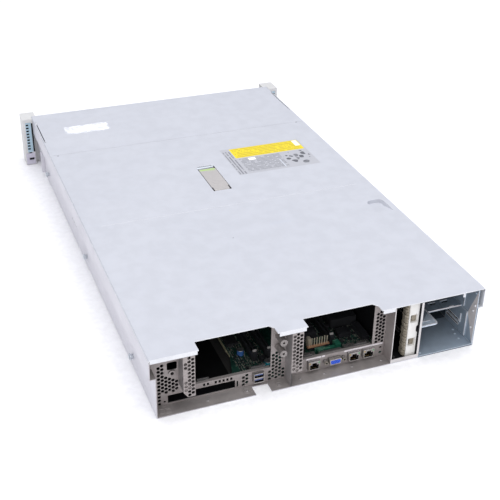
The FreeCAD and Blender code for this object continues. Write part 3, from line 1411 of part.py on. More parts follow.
def make_ear(side, name):
    """A rack ear: the moulded housing with its vented rear face, and the swing-out lever."""
    ear = new_body(f"ear_{name}")
    plan = [
        (WING + cells.seat, FRONT - cells.seat),
        (WING + cells.seat, EAR_REAR),
        (EAR_OUT, EAR_REAR),
        (EAR_OUT, EAR_FRONT, 3),
        (EAR_IN, EAR_FRONT, 1.5),
        (EAR_IN, FRONT - cells.seat),
    ]
    pad(ear, "XY", EAR_LOW, EAR_TOP, [plan if side > 0 else mirrored(plan)])
    lever_in = EAR_PIVOT_X - cells.ear_lever - cells.gap
    lever_out = EAR_OUT - 2.3
    recess = side_rect(side, lever_in, lever_out, EAR_LEVER_LOW - cells.gap, EAR_LEVER_TOP + cells.gap)
    pocket(ear, "XZ", EAR_FRONT - 1, EAR_FRONT + 9, [recess])
    screw = (side * SCREW_SIDE, cells.ear_screw_level, cells.ear_screw_bore)
    pocket(ear, "XZ", EAR_FRONT + 8, EAR_REAR + 1, [screw])
    strip = (WING + EAR_OUT) / 2
    level = EAR_LOW + 29
    hole = side_rect(side, strip - 1, strip + 3.5, level, level + 3)
    cut = pocket(ear, "XZ", EAR_REAR - 3, EAR_REAR + 1, [hole])
    row(ear, cut, "V_Axis", Size(5.6, "5.6"), 9)
    if side < 0:
        hole = (side * SCREW_SIDE, cells.button_level, cells.button + cells.gap)
        pocket(ear, "XZ", EAR_FRONT - 1, EAR_FRONT + 8.5, [hole])

    lever = new_body(f"ear_lever_{name}")
    thick = cells.ear_lever
    arm = [
        (EAR_PIVOT_X, EAR_PIVOT_Y - thick),
        (lever_out - 0.4, EAR_PIVOT_Y - thick, 2),
        (lever_out - 0.4, EAR_PIVOT_Y + thick - 1.4),
        (lever_out - 6, EAR_PIVOT_Y + thick),
        (EAR_PIVOT_X, EAR_PIVOT_Y + thick),
    ]
    boss = (side * EAR_PIVOT_X, EAR_PIVOT_Y, thick)
    pad(lever, "XY", EAR_LEVER_LOW, EAR_LEVER_TOP, [arm if side > 0 else mirrored(arm)])
    pad(lever, "XY", EAR_LEVER_LOW, EAR_LEVER_TOP, [boss])
    notch_y = EAR_PIVOT_Y - thick
    grip = side_rect(side, lever_out - 5, lever_out - 3.5, EAR_LEVER_LOW + 12, EAR_LEVER_TOP - 12)
    pocket(lever, "XZ", notch_y - 1, notch_y + 0.8, [grip])


def make_power_button():
    """The sprung power button in the right ear."""
    body = new_body("power_button")
    face = EAR_FRONT + cells.gap
    middle = (-SCREW_SIDE, cells.button_level)
    pad(body, "XZ", face, face + 6, [middle + (cells.button,)])
    pocket(body, "XZ", face - 1, face + 0.5, [middle + (cells.button - 1.2,)])


make_tray()
make_front_top_panel()
make_access_panel()
make_rear_panel()
make_bracket("left_riser_bracket", BRACKET_IN, BRACKET_OUT, deep_web=False)
make_bracket("centre_bracket", CENTRE_IN, CENTRE_OUT, deep_web=True)
make_standoffs()
make_rail_studs()
make_latch_housing()
make_hood_latch()
make_cross_brace()
make_bay_wall()
make_psu_cage()
make_bay_blank()
make_power_backplane()
make_system_board()
make_processors()
make_memory()
make_board_parts()
make_ports()
make_baffle()
make_fan_cage()
make_fans()
make_drive_cage()
make_drive_backplane()
for drive_slot in (1, 2, 3, 4):
    make_drive(drive_slot)
make_drive_blanks()
make_front_boxes()
make_ear(1, "left")
make_ear(-1, "right")
make_power_button()

# ---------------------------------------------------------------- check and write

doc.recompute()
failed = [item.Name for item in doc.Objects if {"Invalid", "Error"} & set(item.State)]
for item in doc.Objects:
    before = None
    if item.isDerivedFrom("PartDesign::Pocket"):
        before = item.BaseFeature
    elif item.isDerivedFrom("Part::Cut"):
        before = item.Base
    if before and abs(before.Shape.Volume - item.Shape.Volume) < 1e-3:
        failed.append(f"{item.Name} cuts nothing")
for node in NODES:
    if node.Shape.isNull() or not node.Shape.isValid() or not node.Shape.Solids:
        failed.append(f"{node.Label} has no valid solid")
if failed:
    raise SystemExit("failed: " + ", ".join(failed))

os.makedirs("parts", exist_ok=True)
for node in NODES:
    node.Shape.exportStep(f"parts/{node.Label}.step")
    print(node.Label, len(node.Shape.Solids), round(node.Shape.Volume / 1000, 2))
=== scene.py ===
"""The looks of a rack server two units high, seen from behind with its bays open.

Every length in this file is in millimetres and is turned into metres as a mesh is finished. The places
come from the boxes of the frame's nodes. +Z is up, +Y is the rear, and the ears and drives face -Y.
"""

import json
import logging
import math
import random
from dataclasses import dataclass, field
from enum import Enum
from typing import Any, Callable, Sequence

import bmesh
import bpy
from mathutils import Euler, Matrix, Quaternion, Vector
from mathutils.geometry import tessellate_polygon


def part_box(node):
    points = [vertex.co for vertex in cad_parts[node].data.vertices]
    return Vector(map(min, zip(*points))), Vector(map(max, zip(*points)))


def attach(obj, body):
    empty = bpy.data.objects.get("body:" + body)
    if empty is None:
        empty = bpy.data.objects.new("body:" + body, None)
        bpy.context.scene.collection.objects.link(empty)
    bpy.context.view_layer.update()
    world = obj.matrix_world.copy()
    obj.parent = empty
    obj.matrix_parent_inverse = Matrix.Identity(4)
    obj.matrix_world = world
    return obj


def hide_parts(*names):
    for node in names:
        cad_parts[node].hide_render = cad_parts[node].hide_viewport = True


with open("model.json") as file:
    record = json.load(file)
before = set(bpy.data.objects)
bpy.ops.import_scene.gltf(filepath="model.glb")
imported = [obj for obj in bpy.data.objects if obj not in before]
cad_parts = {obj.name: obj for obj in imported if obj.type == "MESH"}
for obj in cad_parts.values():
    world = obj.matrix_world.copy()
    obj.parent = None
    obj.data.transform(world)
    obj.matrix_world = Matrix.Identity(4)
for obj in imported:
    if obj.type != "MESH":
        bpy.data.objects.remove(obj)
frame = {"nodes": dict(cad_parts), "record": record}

LOG = logging.getLogger("rack_server")
MM = 0.001
Colour = tuple[float, float, float]
Point = tuple[float, float, float]
Flat = tuple[float, float]
Socket = bpy.types.NodeSocket


class Axis(Enum):
    """A direction of the frame, as the index of its coordinate."""

    X = 0
    Y = 1
    Z = 2


@dataclass(frozen=True)
class Box:
    """A block of space in millimetres."""

    low: Vector
    high: Vector

    @classmethod
    def of(cls, node: str) -> "Box":
        """The box of a CAD node at rest."""
        low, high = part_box(node)
        return cls(low / MM, high / MM)

    @property
    def middle(self) -> Vector:
        """The point halfway between the corners."""
        return (self.low + self.high) / 2

    @property
    def size(self) -> Vector:
        """The lengths of the sides."""
        return self.high - self.low


# ------------------------------------------------------------------ node trees


class Graph:
    """A hand on a node tree that adds a node, sets its inputs and links it in one call."""

    def __init__(self, tree: bpy.types.NodeTree) -> None:
        """Args:
            tree: The tree to add to.
        """
        self.tree = tree

    def add(self, kind: str, inputs: dict[str | int, Any] | None = None, **settings: Any) -> bpy.types.Node:
        """Add a node.

        Args:
            kind: The node's class name.
            inputs: Values or sockets for its inputs, by name or place.
            settings: Properties of the node itself.

        Returns:
            The new node.
        """
        node = self.tree.nodes.new(kind)
        for name, value in settings.items():
            setattr(node, name, value)
        for key, value in (inputs or {}).items():
            if isinstance(value, Socket):
                self.tree.links.new(value, node.inputs[key])
            else:
                node.inputs[key].default_value = value
        return node

    def math(self, operation: str, a: Any, b: Any = 0.0, clamp: bool = False) -> Socket:
        """The result of a Math node on two values or sockets."""
        kind = "ShaderNodeMath"
        return self.add(kind, {0: a, 1: b}, operation=operation, use_clamp=clamp).outputs[0]

    def remap(self, value: Socket, low: float, high: float, to_low: float = 0.0, to_high: float = 1.0) -> Socket:
        """The value carried smoothly from one range to another and held inside it."""
        names = {"Value": value, "From Min": low, "From Max": high, "To Min": to_low, "To Max": to_high}
        return self.add("ShaderNodeMapRange", names, interpolation_type="SMOOTHSTEP").outputs[0]

    def blend(self, share: Any, first: Any, second: Any, mode: str = "MIX") -> Socket:
        """One colour mixed into another by a share."""
        node = self.add("ShaderNodeMix", {0: share, 6: first, 7: second}, data_type="RGBA", blend_type=mode)
        return node.outputs[2]

    def place(self, vector: Socket, scale: Point, turn: Point = (0.0, 0.0, 0.0)) -> Socket:
        """Coordinates stretched and turned by a Mapping node."""
        return self.add("ShaderNodeMapping", {"Vector": vector, "Scale": scale, "Rotation": turn}).outputs[0]

    def noise(self, vector: Socket, scale: Any, detail: float = 2.0, rough: float = 0.5, bend: float = 0.0) -> Socket:
        """The value of a Noise Texture."""
        names = {"Vector": vector, "Scale": scale, "Detail": detail, "Roughness": rough, "Distortion": bend}
        return self.add("ShaderNodeTexNoise", names).outputs[0]


def rgba(colour: Colour) -> tuple[float, float, float, float]:
    """A colour with full opacity."""
    return (*colour, 1.0)


class Effects:
    """The surface effects that several finishes share, each a node group that is built once."""

    made: dict[str, bpy.types.NodeTree] = {}

    @classmethod
    def start(cls, name: str, inputs: Sequence[tuple[str, str, Any]], outputs: Sequence[str]) -> tuple[Graph, Any, Any]:
        """Begin a group.

        Args:
            name: The group's name.
            inputs: Name, socket type and default of each input.
            outputs: The names of the value outputs.

        Returns:
            The graph, its input node and its output node.
        """
        tree = bpy.data.node_groups.new(name, "ShaderNodeTree")
        for label, kind, default in inputs:
            socket = tree.interface.new_socket(name=label, in_out="INPUT", socket_type=kind)
            if default is not None:
                socket.default_value = default
        for label in outputs:
            tree.interface.new_socket(name=label, in_out="OUTPUT", socket_type="NodeSocketFloat")
        graph = Graph(tree)
        cls.made[name] = tree
        return graph, graph.add("NodeGroupInput"), graph.add("NodeGroupOutput")

    @classmethod
    def smudges(cls) -> bpy.types.NodeTree:
        """Soft patches where hands and dust have dulled a surface."""
        name = "Smudges"
        if name in cls.made:
            return cls.made[name]
        inputs = [("Vector", "NodeSocketVector", None), ("Size", "NodeSocketFloat", 60.0)]
        graph, given, result = cls.start(name, inputs, ["Mask", "Fine"])
        scale = graph.math("DIVIDE", 1000.0, given.outputs["Size"])
        wide = graph.noise(given.outputs["Vector"], scale, 5.0, 0.6, 0.8)
        fine = graph.noise(given.outputs["Vector"], graph.math("MULTIPLY", scale, 6.3), 3.0, 0.55, 0.2)
        mask = graph.remap(graph.math("ADD", wide, graph.math("MULTIPLY", fine, 0.35)), 0.52, 0.86)
        graph.tree.links.new(mask, result.inputs["Mask"])
        graph.tree.links.new(fine, result.inputs["Fine"])
        return cls.made[name]

    @classmethod
    def scratches(cls) -> bpy.types.NodeTree:
        """Thin straight scuffs in two directions, gathered in patches."""
        name = "Scratches"
        if name in cls.made:
            return cls.made[name]
        inputs = [("Vector", "NodeSocketVector", None), ("Amount", "NodeSocketFloat", 0.5)]
        graph, given, result = cls.start(name, inputs, ["Mask"])
        total: Socket | None = None
        for turn, stretch in ((0.5, (14.0, 900.0, 300.0)), (-0.9, (20.0, 1300.0, 400.0))):
            lines = graph.noise(graph.place(given.outputs["Vector"], stretch, (0.1, 0.0, turn)), 1.0, 1.0)
            where = graph.noise(graph.place(given.outputs["Vector"], (9.0, 9.0, 9.0), (0.0, turn, 0.0)), 1.0, 1.0)
            line = graph.math("MULTIPLY", graph.remap(lines, 0.68, 0.74), graph.remap(where, 0.52, 0.62))
            total = line if total is None else graph.math("MAXIMUM", total, line)
        graph.tree.links.new(graph.math("MULTIPLY", total, given.outputs["Amount"]), result.inputs["Mask"])
        return cls.made[name]

    @classmethod
    def grain(cls) -> bpy.types.NodeTree:
        """The fine relief of powder paint, cast metal or moulded plastic."""
        name = "Grain"
        if name in cls.made:
            return cls.made[name]
        inputs = [("Vector", "NodeSocketVector", None), ("Size", "NodeSocketFloat", 0.6)]
        graph, given, result = cls.start(name, inputs, ["Height"])
        scale = graph.math("DIVIDE", 1000.0, given.outputs["Size"])
        cells = graph.add("ShaderNodeTexVoronoi", {"Vector": given.outputs["Vector"], "Scale": scale})
        soft = graph.noise(given.outputs["Vector"], graph.math("MULTIPLY", scale, 0.4), 2.0, 0.5)
        height = graph.math("ADD", graph.math("MULTIPLY", cells.outputs[0], 0.5), soft)
        graph.tree.links.new(height, result.inputs["Height"])
        return cls.made[name]

    @classmethod
    def brushed(cls) -> bpy.types.NodeTree:
        """The lines that rolling or brushing leaves along a sheet."""
        name = "Brushed"
        if name in cls.made:
            return cls.made[name]
        inputs = [("Vector", "NodeSocketVector", None), ("Stretch", "NodeSocketVector", (20.0, 900.0, 900.0))]
        graph, given, result = cls.start(name, inputs, ["Height"])
        drawn = graph.add("ShaderNodeVectorMath", {0: given.outputs["Vector"], 1: given.outputs["Stretch"]},
            operation="MULTIPLY")
        lines = graph.noise(drawn.outputs[0], 1.0, 3.0, 0.6)
        graph.tree.links.new(lines, result.inputs["Height"])
        return cls.made[name]

    @classmethod
    def specks(cls) -> bpy.types.NodeTree:
        """Scattered dots: dust on a flat surface or pores in a casting."""
        name = "Specks"
        if name in cls.made:
            return cls.made[name]
        inputs = [("Vector", "NodeSocketVector", None), ("Spacing", "NodeSocketFloat", 4.0),
            ("Radius", "NodeSocketFloat", 0.12)]
        graph, given, result = cls.start(name, inputs, ["Mask"])
        scale = graph.math("DIVIDE", 1000.0, given.outputs["Spacing"])
        cells = graph.add("ShaderNodeTexVoronoi", {"Vector": given.outputs["Vector"], "Scale": scale})
        luck = graph.add("ShaderNodeSeparateColor", {0: cells.outputs["Color"]}).outputs[0]
        limit = graph.math("MULTIPLY", given.outputs["Radius"], graph.remap(luck, 0.45, 1.0))
        graph.tree.links.new(graph.math("LESS_THAN", cells.outputs[0], limit), result.inputs["Mask"])
        return cls.made[name]

    @classmethod
    def window(cls) -> bpy.types.NodeTree:
        """A rectangle on the plane of X and Y, its corners and edge softness in millimetres."""
        name = "Window"
        if name in cls.made:
            return cls.made[name]
        inputs = [("Vector", "NodeSocketVector", None), ("Low", "NodeSocketVector", None),
            ("High", "NodeSocketVector", None), ("Soft", "NodeSocketFloat", 0.3)]
        graph, given, result = cls.start(name, inputs, ["Mask"])
        place = graph.add("ShaderNodeVectorMath", {0: given.outputs["Vector"], 3: 1000.0}, operation="SCALE").outputs[0]
        total: Socket | None = None
        for first, second in ((place, given.outputs["Low"]), (given.outputs["High"], place)):
            gap = graph.add("ShaderNodeVectorMath", {0: first, 1: second}, operation="SUBTRACT").outputs[0]
            parts = graph.add("ShaderNodeSeparateXYZ", {0: gap})
            for index in (0, 1):
                inside = graph.math("DIVIDE", parts.outputs[index], given.outputs["Soft"], clamp=True)
                total = inside if total is None else graph.math("MULTIPLY", total, inside)
        graph.tree.links.new(total, result.inputs["Mask"])
        return cls.made[name]

    @classmethod
    def rows(cls) -> bpy.types.NodeTree:
        """Rows of short bars of uneven length, too coarse to be read."""
        name = "Rows"
        if name in cls.made:
            return cls.made[name]
        inputs = [("Vector", "NodeSocketVector", None), ("Pitch", "NodeSocketFloat", 3.0),
            ("Upright", "NodeSocketFloat", 0.0)]
        graph, given, result = cls.start(name, inputs, ["Mask"])
        parts = graph.add("ShaderNodeSeparateXYZ", {0: given.outputs["Vector"]})
        upright = given.outputs["Upright"]
        along = graph.add("ShaderNodeMix", {0: upright, 2: parts.outputs[0], 3: parts.outputs[1]}).outputs[0]
        across = graph.add("ShaderNodeMix", {0: upright, 2: parts.outputs[1], 3: parts.outputs[0]}).outputs[0]
        step = graph.math("DIVIDE", graph.math("MULTIPLY", across, 1000.0), given.outputs["Pitch"])
        line = graph.math("FLOOR", step)
        spot = graph.add("ShaderNodeCombineXYZ",
            {0: graph.math("MULTIPLY", along, 190.0), 1: graph.math("MULTIPLY", line, 7.31), 2: 0.5})
        word = graph.remap(graph.noise(spot.outputs[0], 1.0, 2.0, 0.7), 0.40, 0.44)
        bar = graph.math("LESS_THAN", graph.math("FRACT", step), 0.5)
        graph.tree.links.new(graph.math("MULTIPLY", word, bar), result.inputs["Mask"])
        return cls.made[name]


# ------------------------------------------------------------------ finishes


@dataclass(frozen=True)
class Finish:
    """A paint, plating or moulded surface with its grain, dust and wear.

    The second colour shows where hands and dust have dulled the surface, and the worn colour in its scratches.
    """

    name: str
    colour: Colour
    second: Colour
    roughness: float = 0.5
    metallic: float = 0.0
    patch_size: float = 60.0
    patch_share: float = 0.5
    grain_size: float = 0.6
    grain_depth: float = 0.004
    line: Axis | None = None
    line_depth: float = 0.006
    worn: Colour | None = None
    scratches: float = 0.0
    dust: float = 0.0
    coat: float = 0.0
    specular: float = 0.5

    def graph(self) -> tuple[Graph, bpy.types.Node, Socket]:
        """An empty material's graph, its Principled BSDF and its object coordinates."""
        material = bpy.data.materials.new(self.name)
        material.use_nodes = True
        material.node_tree.nodes.clear()
        graph = Graph(material.node_tree)
        surface = graph.add("ShaderNodeBsdfPrincipled")
        surface.inputs["Metallic"].default_value = self.metallic
        surface.inputs["Specular IOR Level"].default_value = self.specular
        surface.inputs["Coat Weight"].default_value = self.coat
        surface.inputs["Coat Roughness"].default_value = 0.12
        graph.add("ShaderNodeOutputMaterial", {"Surface": surface.outputs[0]})
        return graph, surface, graph.add("ShaderNodeTexCoord").outputs["Object"]

    def effect(self, graph: Graph, tree: bpy.types.NodeTree, values: dict[str, Any]) -> bpy.types.Node:
        """Place a shared effect in this finish with values of its own."""
        node = graph.add("ShaderNodeGroup", node_tree=tree)
        for name, value in values.items():
            if isinstance(value, Socket):
                graph.tree.links.new(value, node.inputs[name])
            else:
                node.inputs[name].default_value = value
        return node

    def make(self) -> bpy.types.Material:
        """The finished material, built the first time it is asked for."""
        ready = bpy.data.materials.get(self.name)
        if ready:
            return ready
        graph, surface, place = self.graph()
        patches = self.effect(graph, Effects.smudges(), {"Vector": place, "Size": self.patch_size})
        share = graph.math("MULTIPLY", patches.outputs["Mask"], self.patch_share)
        colour = graph.blend(share, rgba(self.colour), rgba(self.second))
        shade = graph.remap(patches.outputs["Fine"], 0.3, 0.7, 0.965, 1.03)
        colour = graph.blend(1.0, colour,
            graph.add("ShaderNodeCombineColor", {0: shade, 1: shade, 2: shade}).outputs[0], "MULTIPLY")
        rough = graph.math("ADD", self.roughness - 0.04, graph.math("MULTIPLY", patches.outputs["Mask"], 0.16))
        height = self.effect(graph, Effects.grain(), {"Vector": place, "Size": self.grain_size}).outputs[0]
        if self.line is not None:
            stretch = [1100.0, 1100.0, 1100.0]
            stretch[self.line.value] = 16.0
            lines = self.effect(graph, Effects.brushed(), {"Vector": place, "Stretch": stretch}).outputs[0]
            height = graph.math("ADD", height, graph.math("MULTIPLY", lines, self.line_depth / self.grain_depth))
            rough = graph.math("ADD", rough, graph.remap(lines, 0.3, 0.7, -0.06, 0.06))
        if self.scratches:
            marks = self.effect(graph, Effects.scratches(), {"Vector": place, "Amount": self.scratches}).outputs[0]
            colour = graph.blend(marks, colour, rgba(self.worn or self.second))
            height = graph.math("SUBTRACT", height, marks)
        if self.dust:
            dots = self.effect(graph, Effects.specks(), {"Vector": place, "Spacing": 5.0, "Radius": 0.07}).outputs[0]
            colour = graph.blend(graph.math("MULTIPLY", dots, self.dust), colour, rgba((0.55, 0.53, 0.5)))
        bump = graph.add("ShaderNodeBump", {"Height": height, "Distance": self.grain_depth * MM, "Strength": 1.0})
        colour, rough = self.marks(graph, place, surface, colour, rough)
        graph.tree.links.new(colour, surface.inputs["Base Color"])
        graph.tree.links.new(rough, surface.inputs["Roughness"])
        graph.tree.links.new(bump.outputs[0], surface.inputs["Normal"])
        return bpy.data.materials[self.name]

    def marks(self, graph: Graph, place: Socket, surface: bpy.types.Node, colour: Socket,
        rough: Socket) -> tuple[Socket, Socket]:
        """Lay labels, stains, painted highlights and painted shade over the finish.

        Args:
            graph: The material's graph.
            place: The object coordinates.
            surface: The Principled BSDF.
            colour: The colour so far.
            rough: The roughness so far.

        Returns:
            The colour and roughness with the marks on.
        """
        return colour, rough


@dataclass(frozen=True)
class Patch:
    """A rectangle of the top surface with a colour laid over it, in millimetres: a label, a mark, a painted highlight
    or a painted shade.

    Lines draws unreadable rows across it, lines_up turns them to run along Y, and dots fills it with small marks.
    """

    low: Flat
    high: Flat
    colour: Colour
    share: float = 1.0
    soft: float = 0.3
    lines: float = 0.0
    lines_up: bool = False
    dots: float = 0.0
    gloss: float = 0.0


@dataclass(frozen=True)
class LabelFinish(Finish):
    """Paint with blank labels, small marks, painted highlights and painted shade on it."""

    patches: tuple[Patch, ...] = ()

    def marks(self, graph: Graph, place: Socket, surface: bpy.types.Node, colour: Socket,
        rough: Socket) -> tuple[Socket, Socket]:
        """Lay each patch over the paint, in order."""
        gloss: Socket | None = None
        for patch in self.patches:
            values = {"Vector": place, "Low": (*patch.low, 0.0), "High": (*patch.high, 0.0), "Soft": patch.soft}
            mask = self.effect(graph, Effects.window(), values).outputs[0]
            if patch.gloss:
                shine = graph.math("MULTIPLY", mask, patch.gloss)
                gloss = shine if gloss is None else graph.math("MAXIMUM", gloss, shine)
            if patch.lines:
                values = {"Vector": place, "Pitch": patch.lines, "Upright": float(patch.lines_up)}
                mask = graph.math("MULTIPLY", mask, self.effect(graph, Effects.rows(), values).outputs[0])
            if patch.dots:
                values = {"Vector": place, "Spacing": patch.dots, "Radius": 0.8}
                mask = graph.math("MULTIPLY", mask, self.effect(graph, Effects.specks(), values).outputs[0])
            colour = graph.blend(graph.math("MULTIPLY", mask, patch.share), colour, rgba(patch.colour))
        if gloss is not None:
            ripples = graph.noise(graph.place(place, (60.0, 60.0, 60.0)), 1.0, 2.0)
            bump = graph.add("ShaderNodeBump", {"Height": ripples, "Distance": 0.9 * MM, "Strength": 1.0})
            graph.tree.links.new(gloss, surface.inputs["Coat Weight"])
            graph.tree.links.new(bump.outputs[0], surface.inputs["Coat Normal"])
        return colour, rough


@dataclass(frozen=True)
class BoardFinish(Finish):
    """Solder mask over copper tracks, with tinned pads and vias."""

    copper: Colour = (0.02, 0.30, 0.13)
    pad: Colour = (0.62, 0.60, 0.52)

    def make(self) -> bpy.types.Material:
        """The finished material, built the first time it is asked for."""
        ready = bpy.data.materials.get(self.name)
        if ready:
            return ready
        graph, surface, place = self.graph()
        patches = self.effect(graph, Effects.smudges(), {"Vector": place, "Size": self.patch_size})
        region = graph.noise(place, 28.0, 1.0)
        along = graph.add("ShaderNodeTexWave",
            {"Vector": graph.place(place, (1.0, 1.0, 1.0)), "Scale": 130.0, "Distortion": 3.0, "Detail": 1.0},
            bands_direction="X")
        across = graph.add("ShaderNodeTexWave", {"Vector": place, "Scale": 130.0, "Distortion": 3.0, "Detail": 1.0},
            bands_direction="Y")
        pick = graph.math("GREATER_THAN", region, 0.5)
        wave = graph.add("ShaderNodeMix", {0: pick, 2: along.outputs[1], 3: across.outputs[1]}).outputs[0]
        bare = graph.remap(graph.noise(place, 60.0, 0.0), 0.42, 0.46)
        track = graph.math("MULTIPLY", graph.remap(wave, 0.58, 0.72), bare)
        colour = graph.blend(track, rgba(self.colour), rgba(self.copper))
        colour = graph.blend(graph.math("MULTIPLY", patches.outputs["Mask"], self.patch_share), colour,
            rgba(self.second))
        dots = self.effect(graph, Effects.specks(), {"Vector": place, "Spacing": 2.4, "Radius": 0.26}).outputs[0]
        colour = graph.blend(dots, colour, rgba(self.pad))
        bump = graph.add("ShaderNodeBump",
            {"Height": graph.math("ADD", track, dots), "Distance": 0.03 * MM, "Strength": 1.0})
        graph.tree.links.new(colour, surface.inputs["Base Color"])
        rough = graph.math("ADD", self.roughness, graph.math("MULTIPLY", patches.outputs["Fine"], 0.12))
        graph.tree.links.new(rough, surface.inputs["Roughness"])
        graph.tree.links.new(graph.math("MULTIPLY", dots, 0.9), surface.inputs["Metallic"])
        graph.tree.links.new(bump.outputs[0], surface.inputs["Normal"])
        return bpy.data.materials[self.name]


HOOD_LABELS_GLARE_AND_SHADE = (
    Patch((-181, -122), (-41, -24), (0.43, 0.435, 0.47), 0.8, 1.0),
    Patch((-178, -120), (-57, -84), (0.80, 0.64, 0.02)),
    Patch((-174, -118), (-60, -86), (0.34, 0.25, 0.03), 0.55, 0.5, lines=5.6),
    Patch((-177, -119), (-168, -98), (0.93, 0.93, 0.95), 0.9, 0.6),
    Patch((-130, -80), (-60, -30), (0.17, 0.175, 0.2), 0.75, 0.5, lines=4.4),
    Patch((-124, -60), (-122, -30), (0.62, 0.66, 0.73), 1.0, 0.5),
    Patch((-172, -80), (-132, -34), (0.08, 0.085, 0.1), 0.9, 1.5, dots=8.0),
    Patch((-178, -70), (-150, -30), (0.08, 0.085, 0.1), 0.7, 2.0, dots=10.0),
    Patch((-56, -112), (-43, -26), (0.17, 0.175, 0.2), 0.8, 0.5, lines=5.0, lines_up=True),
    Patch((-88, -80), (-75, -70), (0.95, 0.95, 0.97), 0.9, 0.8),
    Patch((-62, 130), (-24, 143), (0.48, 0.51, 0.58), 0.35, 6.0),
    Patch((35.3, 156), (37.3, 157.8), (0.08, 0.08, 0.1), 0.9, 0.5),
    # Dark dots at the seam's ends: painted shade standing in for holes.
    Patch((209.8, -189.6), (213.2, -186.6), (0.12, 0.12, 0.15), 0.9, 0.8),
    Patch((-211, -191.2), (-207, -188.2), (0.12, 0.12, 0.15), 0.9, 0.8),
    Patch((104, -300), (180, -267), (0.62, 0.65, 0.71), 0.3, 0.8, gloss=0.22),
    # White blotches on the clear sticker: painted glare, a highlight of the lights painted into its colour.
    Patch((108, -290), (150, -284), (0.97, 0.98, 1.0), 0.95, 1.2),
    Patch((128, -281), (178, -273), (0.97, 0.98, 1.0), 0.95, 1.5),
    Patch((140, -297), (146, -270), (0.97, 0.98, 1.0), 0.8, 1.2),
    Patch((106, -276), (122, -270), (0.97, 0.98, 1.0), 0.6, 1.2),
)
HOOD = LabelFinish("Pale_Hood_Paint_Glare_And_Shade", (0.515, 0.53, 0.58), (0.48, 0.495, 0.545), 0.5, 0.0, 140.0, 0.35, 0.5, 0.004,
    worn=(0.6, 0.63, 0.69), scratches=0.2, dust=0.2, specular=0.35, patches=HOOD_LABELS_GLARE_AND_SHADE)
# A lighter copy of the hood paint for folded edges, lit sides and rear faces: painted highlight.
HOOD_EDGE_HIGHLIGHT = Finish("Hood_Edge_Painted_Highlight", (0.74, 0.75, 0.78), (0.62, 0.64, 0.67), 0.4, 0.1, 30.0, 0.4, 0.4, 0.003)
UNDERSIDE = Finish("Shaded_Underside", (0.03, 0.032, 0.037), (0.05, 0.052, 0.058), 0.6, 0.2, 40.0, 0.4, 0.5, 0.004)
# The tray's outer faces: the same zinc as its lip, painted pale for the strong light that falls on the side.
SIDE_LIT = Finish("Side_Zinc_Painted_Light", (0.63, 0.625, 0.67), (0.57, 0.565, 0.61), 0.42, 0.25, 110.0, 0.4, 0.5, 0.004, Axis.Y,
    0.004, worn=(0.7, 0.7, 0.76), scratches=0.3, dust=0.2)
SIDE_EDGE = Finish("Tray_Cut_Edge", (0.5, 0.48, 0.5), (0.4, 0.38, 0.4), 0.4, 0.4, 20.0, 0.4, 0.4, 0.003)
ZINC = Finish("Warm_Zinc_Plate", (0.30, 0.268, 0.262), (0.38, 0.345, 0.335), 0.45, 0.35, 45.0, 0.6, 0.45, 0.005, Axis.Z,
    0.003, worn=(0.5, 0.47, 0.46), scratches=0.3)
# A lighter copy of the zinc for cut edges and the ledge's tops: painted highlight.
ZINC_EDGE_HIGHLIGHT = Finish("Zinc_Edge_Painted_Highlight", (0.42, 0.385, 0.375), (0.33, 0.30, 0.29), 0.4, 0.5, 15.0, 0.5, 0.4, 0.003)
LIP_ZINC = Finish("Floor_Lip_Zinc", (0.31, 0.286, 0.28), (0.37, 0.34, 0.33), 0.42, 0.4, 55.0, 0.6, 0.45, 0.005, Axis.X,
    0.003, worn=(0.4, 0.38, 0.37), scratches=0.4)
# Zinc darkened far below the plate's own colour: painted shade for faces inside the chassis that little light reaches.
SHADED_ZINC = Finish("Painted_Shade_Zinc", (0.06, 0.058, 0.058), (0.08, 0.078, 0.078), 0.55, 0.3, 35.0, 0.5, 0.45, 0.004,
    Axis.Y, 0.003)
PALE_ZINC = Finish("Pale_Zinc_Plate", (0.34, 0.32, 0.32), (0.28, 0.265, 0.265), 0.42, 0.45, 35.0, 0.5, 0.45, 0.004,
    Axis.Z, 0.003)
# The bay is galvanised steel like the rest; this slate-blue tint is the reflection and light inside the bay painted
# into the colour.
SLATE_REFLECTION = Finish("Bay_Slate_Painted_Reflection", (0.33, 0.40, 0.48), (0.39, 0.47, 0.56), 0.36, 0.35, 60.0, 0.6, 0.5, 0.004, Axis.Y,
    0.004, worn=(0.3, 0.36, 0.42), scratches=0.4)
# The slate's painted-shade copy, for the bay's depth and faces turned from the light.
SLATE_DARK = Finish("Slate_Bay_Shaded", (0.08, 0.10, 0.13), (0.11, 0.14, 0.175), 0.4, 0.35, 60.0, 0.6, 0.5, 0.004,
    Axis.Y, 0.004)
# A lighter copy of the slate for the shelf's top, its dimples and a line along the wall: painted highlight.
SLATE_HIGHLIGHT = Finish("Slate_Painted_Highlight", (0.68, 0.77, 0.88), (0.6, 0.69, 0.79), 0.34, 0.35, 40.0, 0.6, 0.5, 0.004,
    Axis.Y, 0.004, worn=(0.5, 0.55, 0.6), scratches=0.4)
# Near-white for the bay's edges, pressed outlines and rivets: painted highlight.
SLATE_EDGE_HIGHLIGHT = Finish("Bay_Edge_Painted_Highlight", (0.88, 0.89, 0.92), (0.74, 0.76, 0.8), 0.35, 0.4, 15.0, 0.4, 0.4, 0.003)
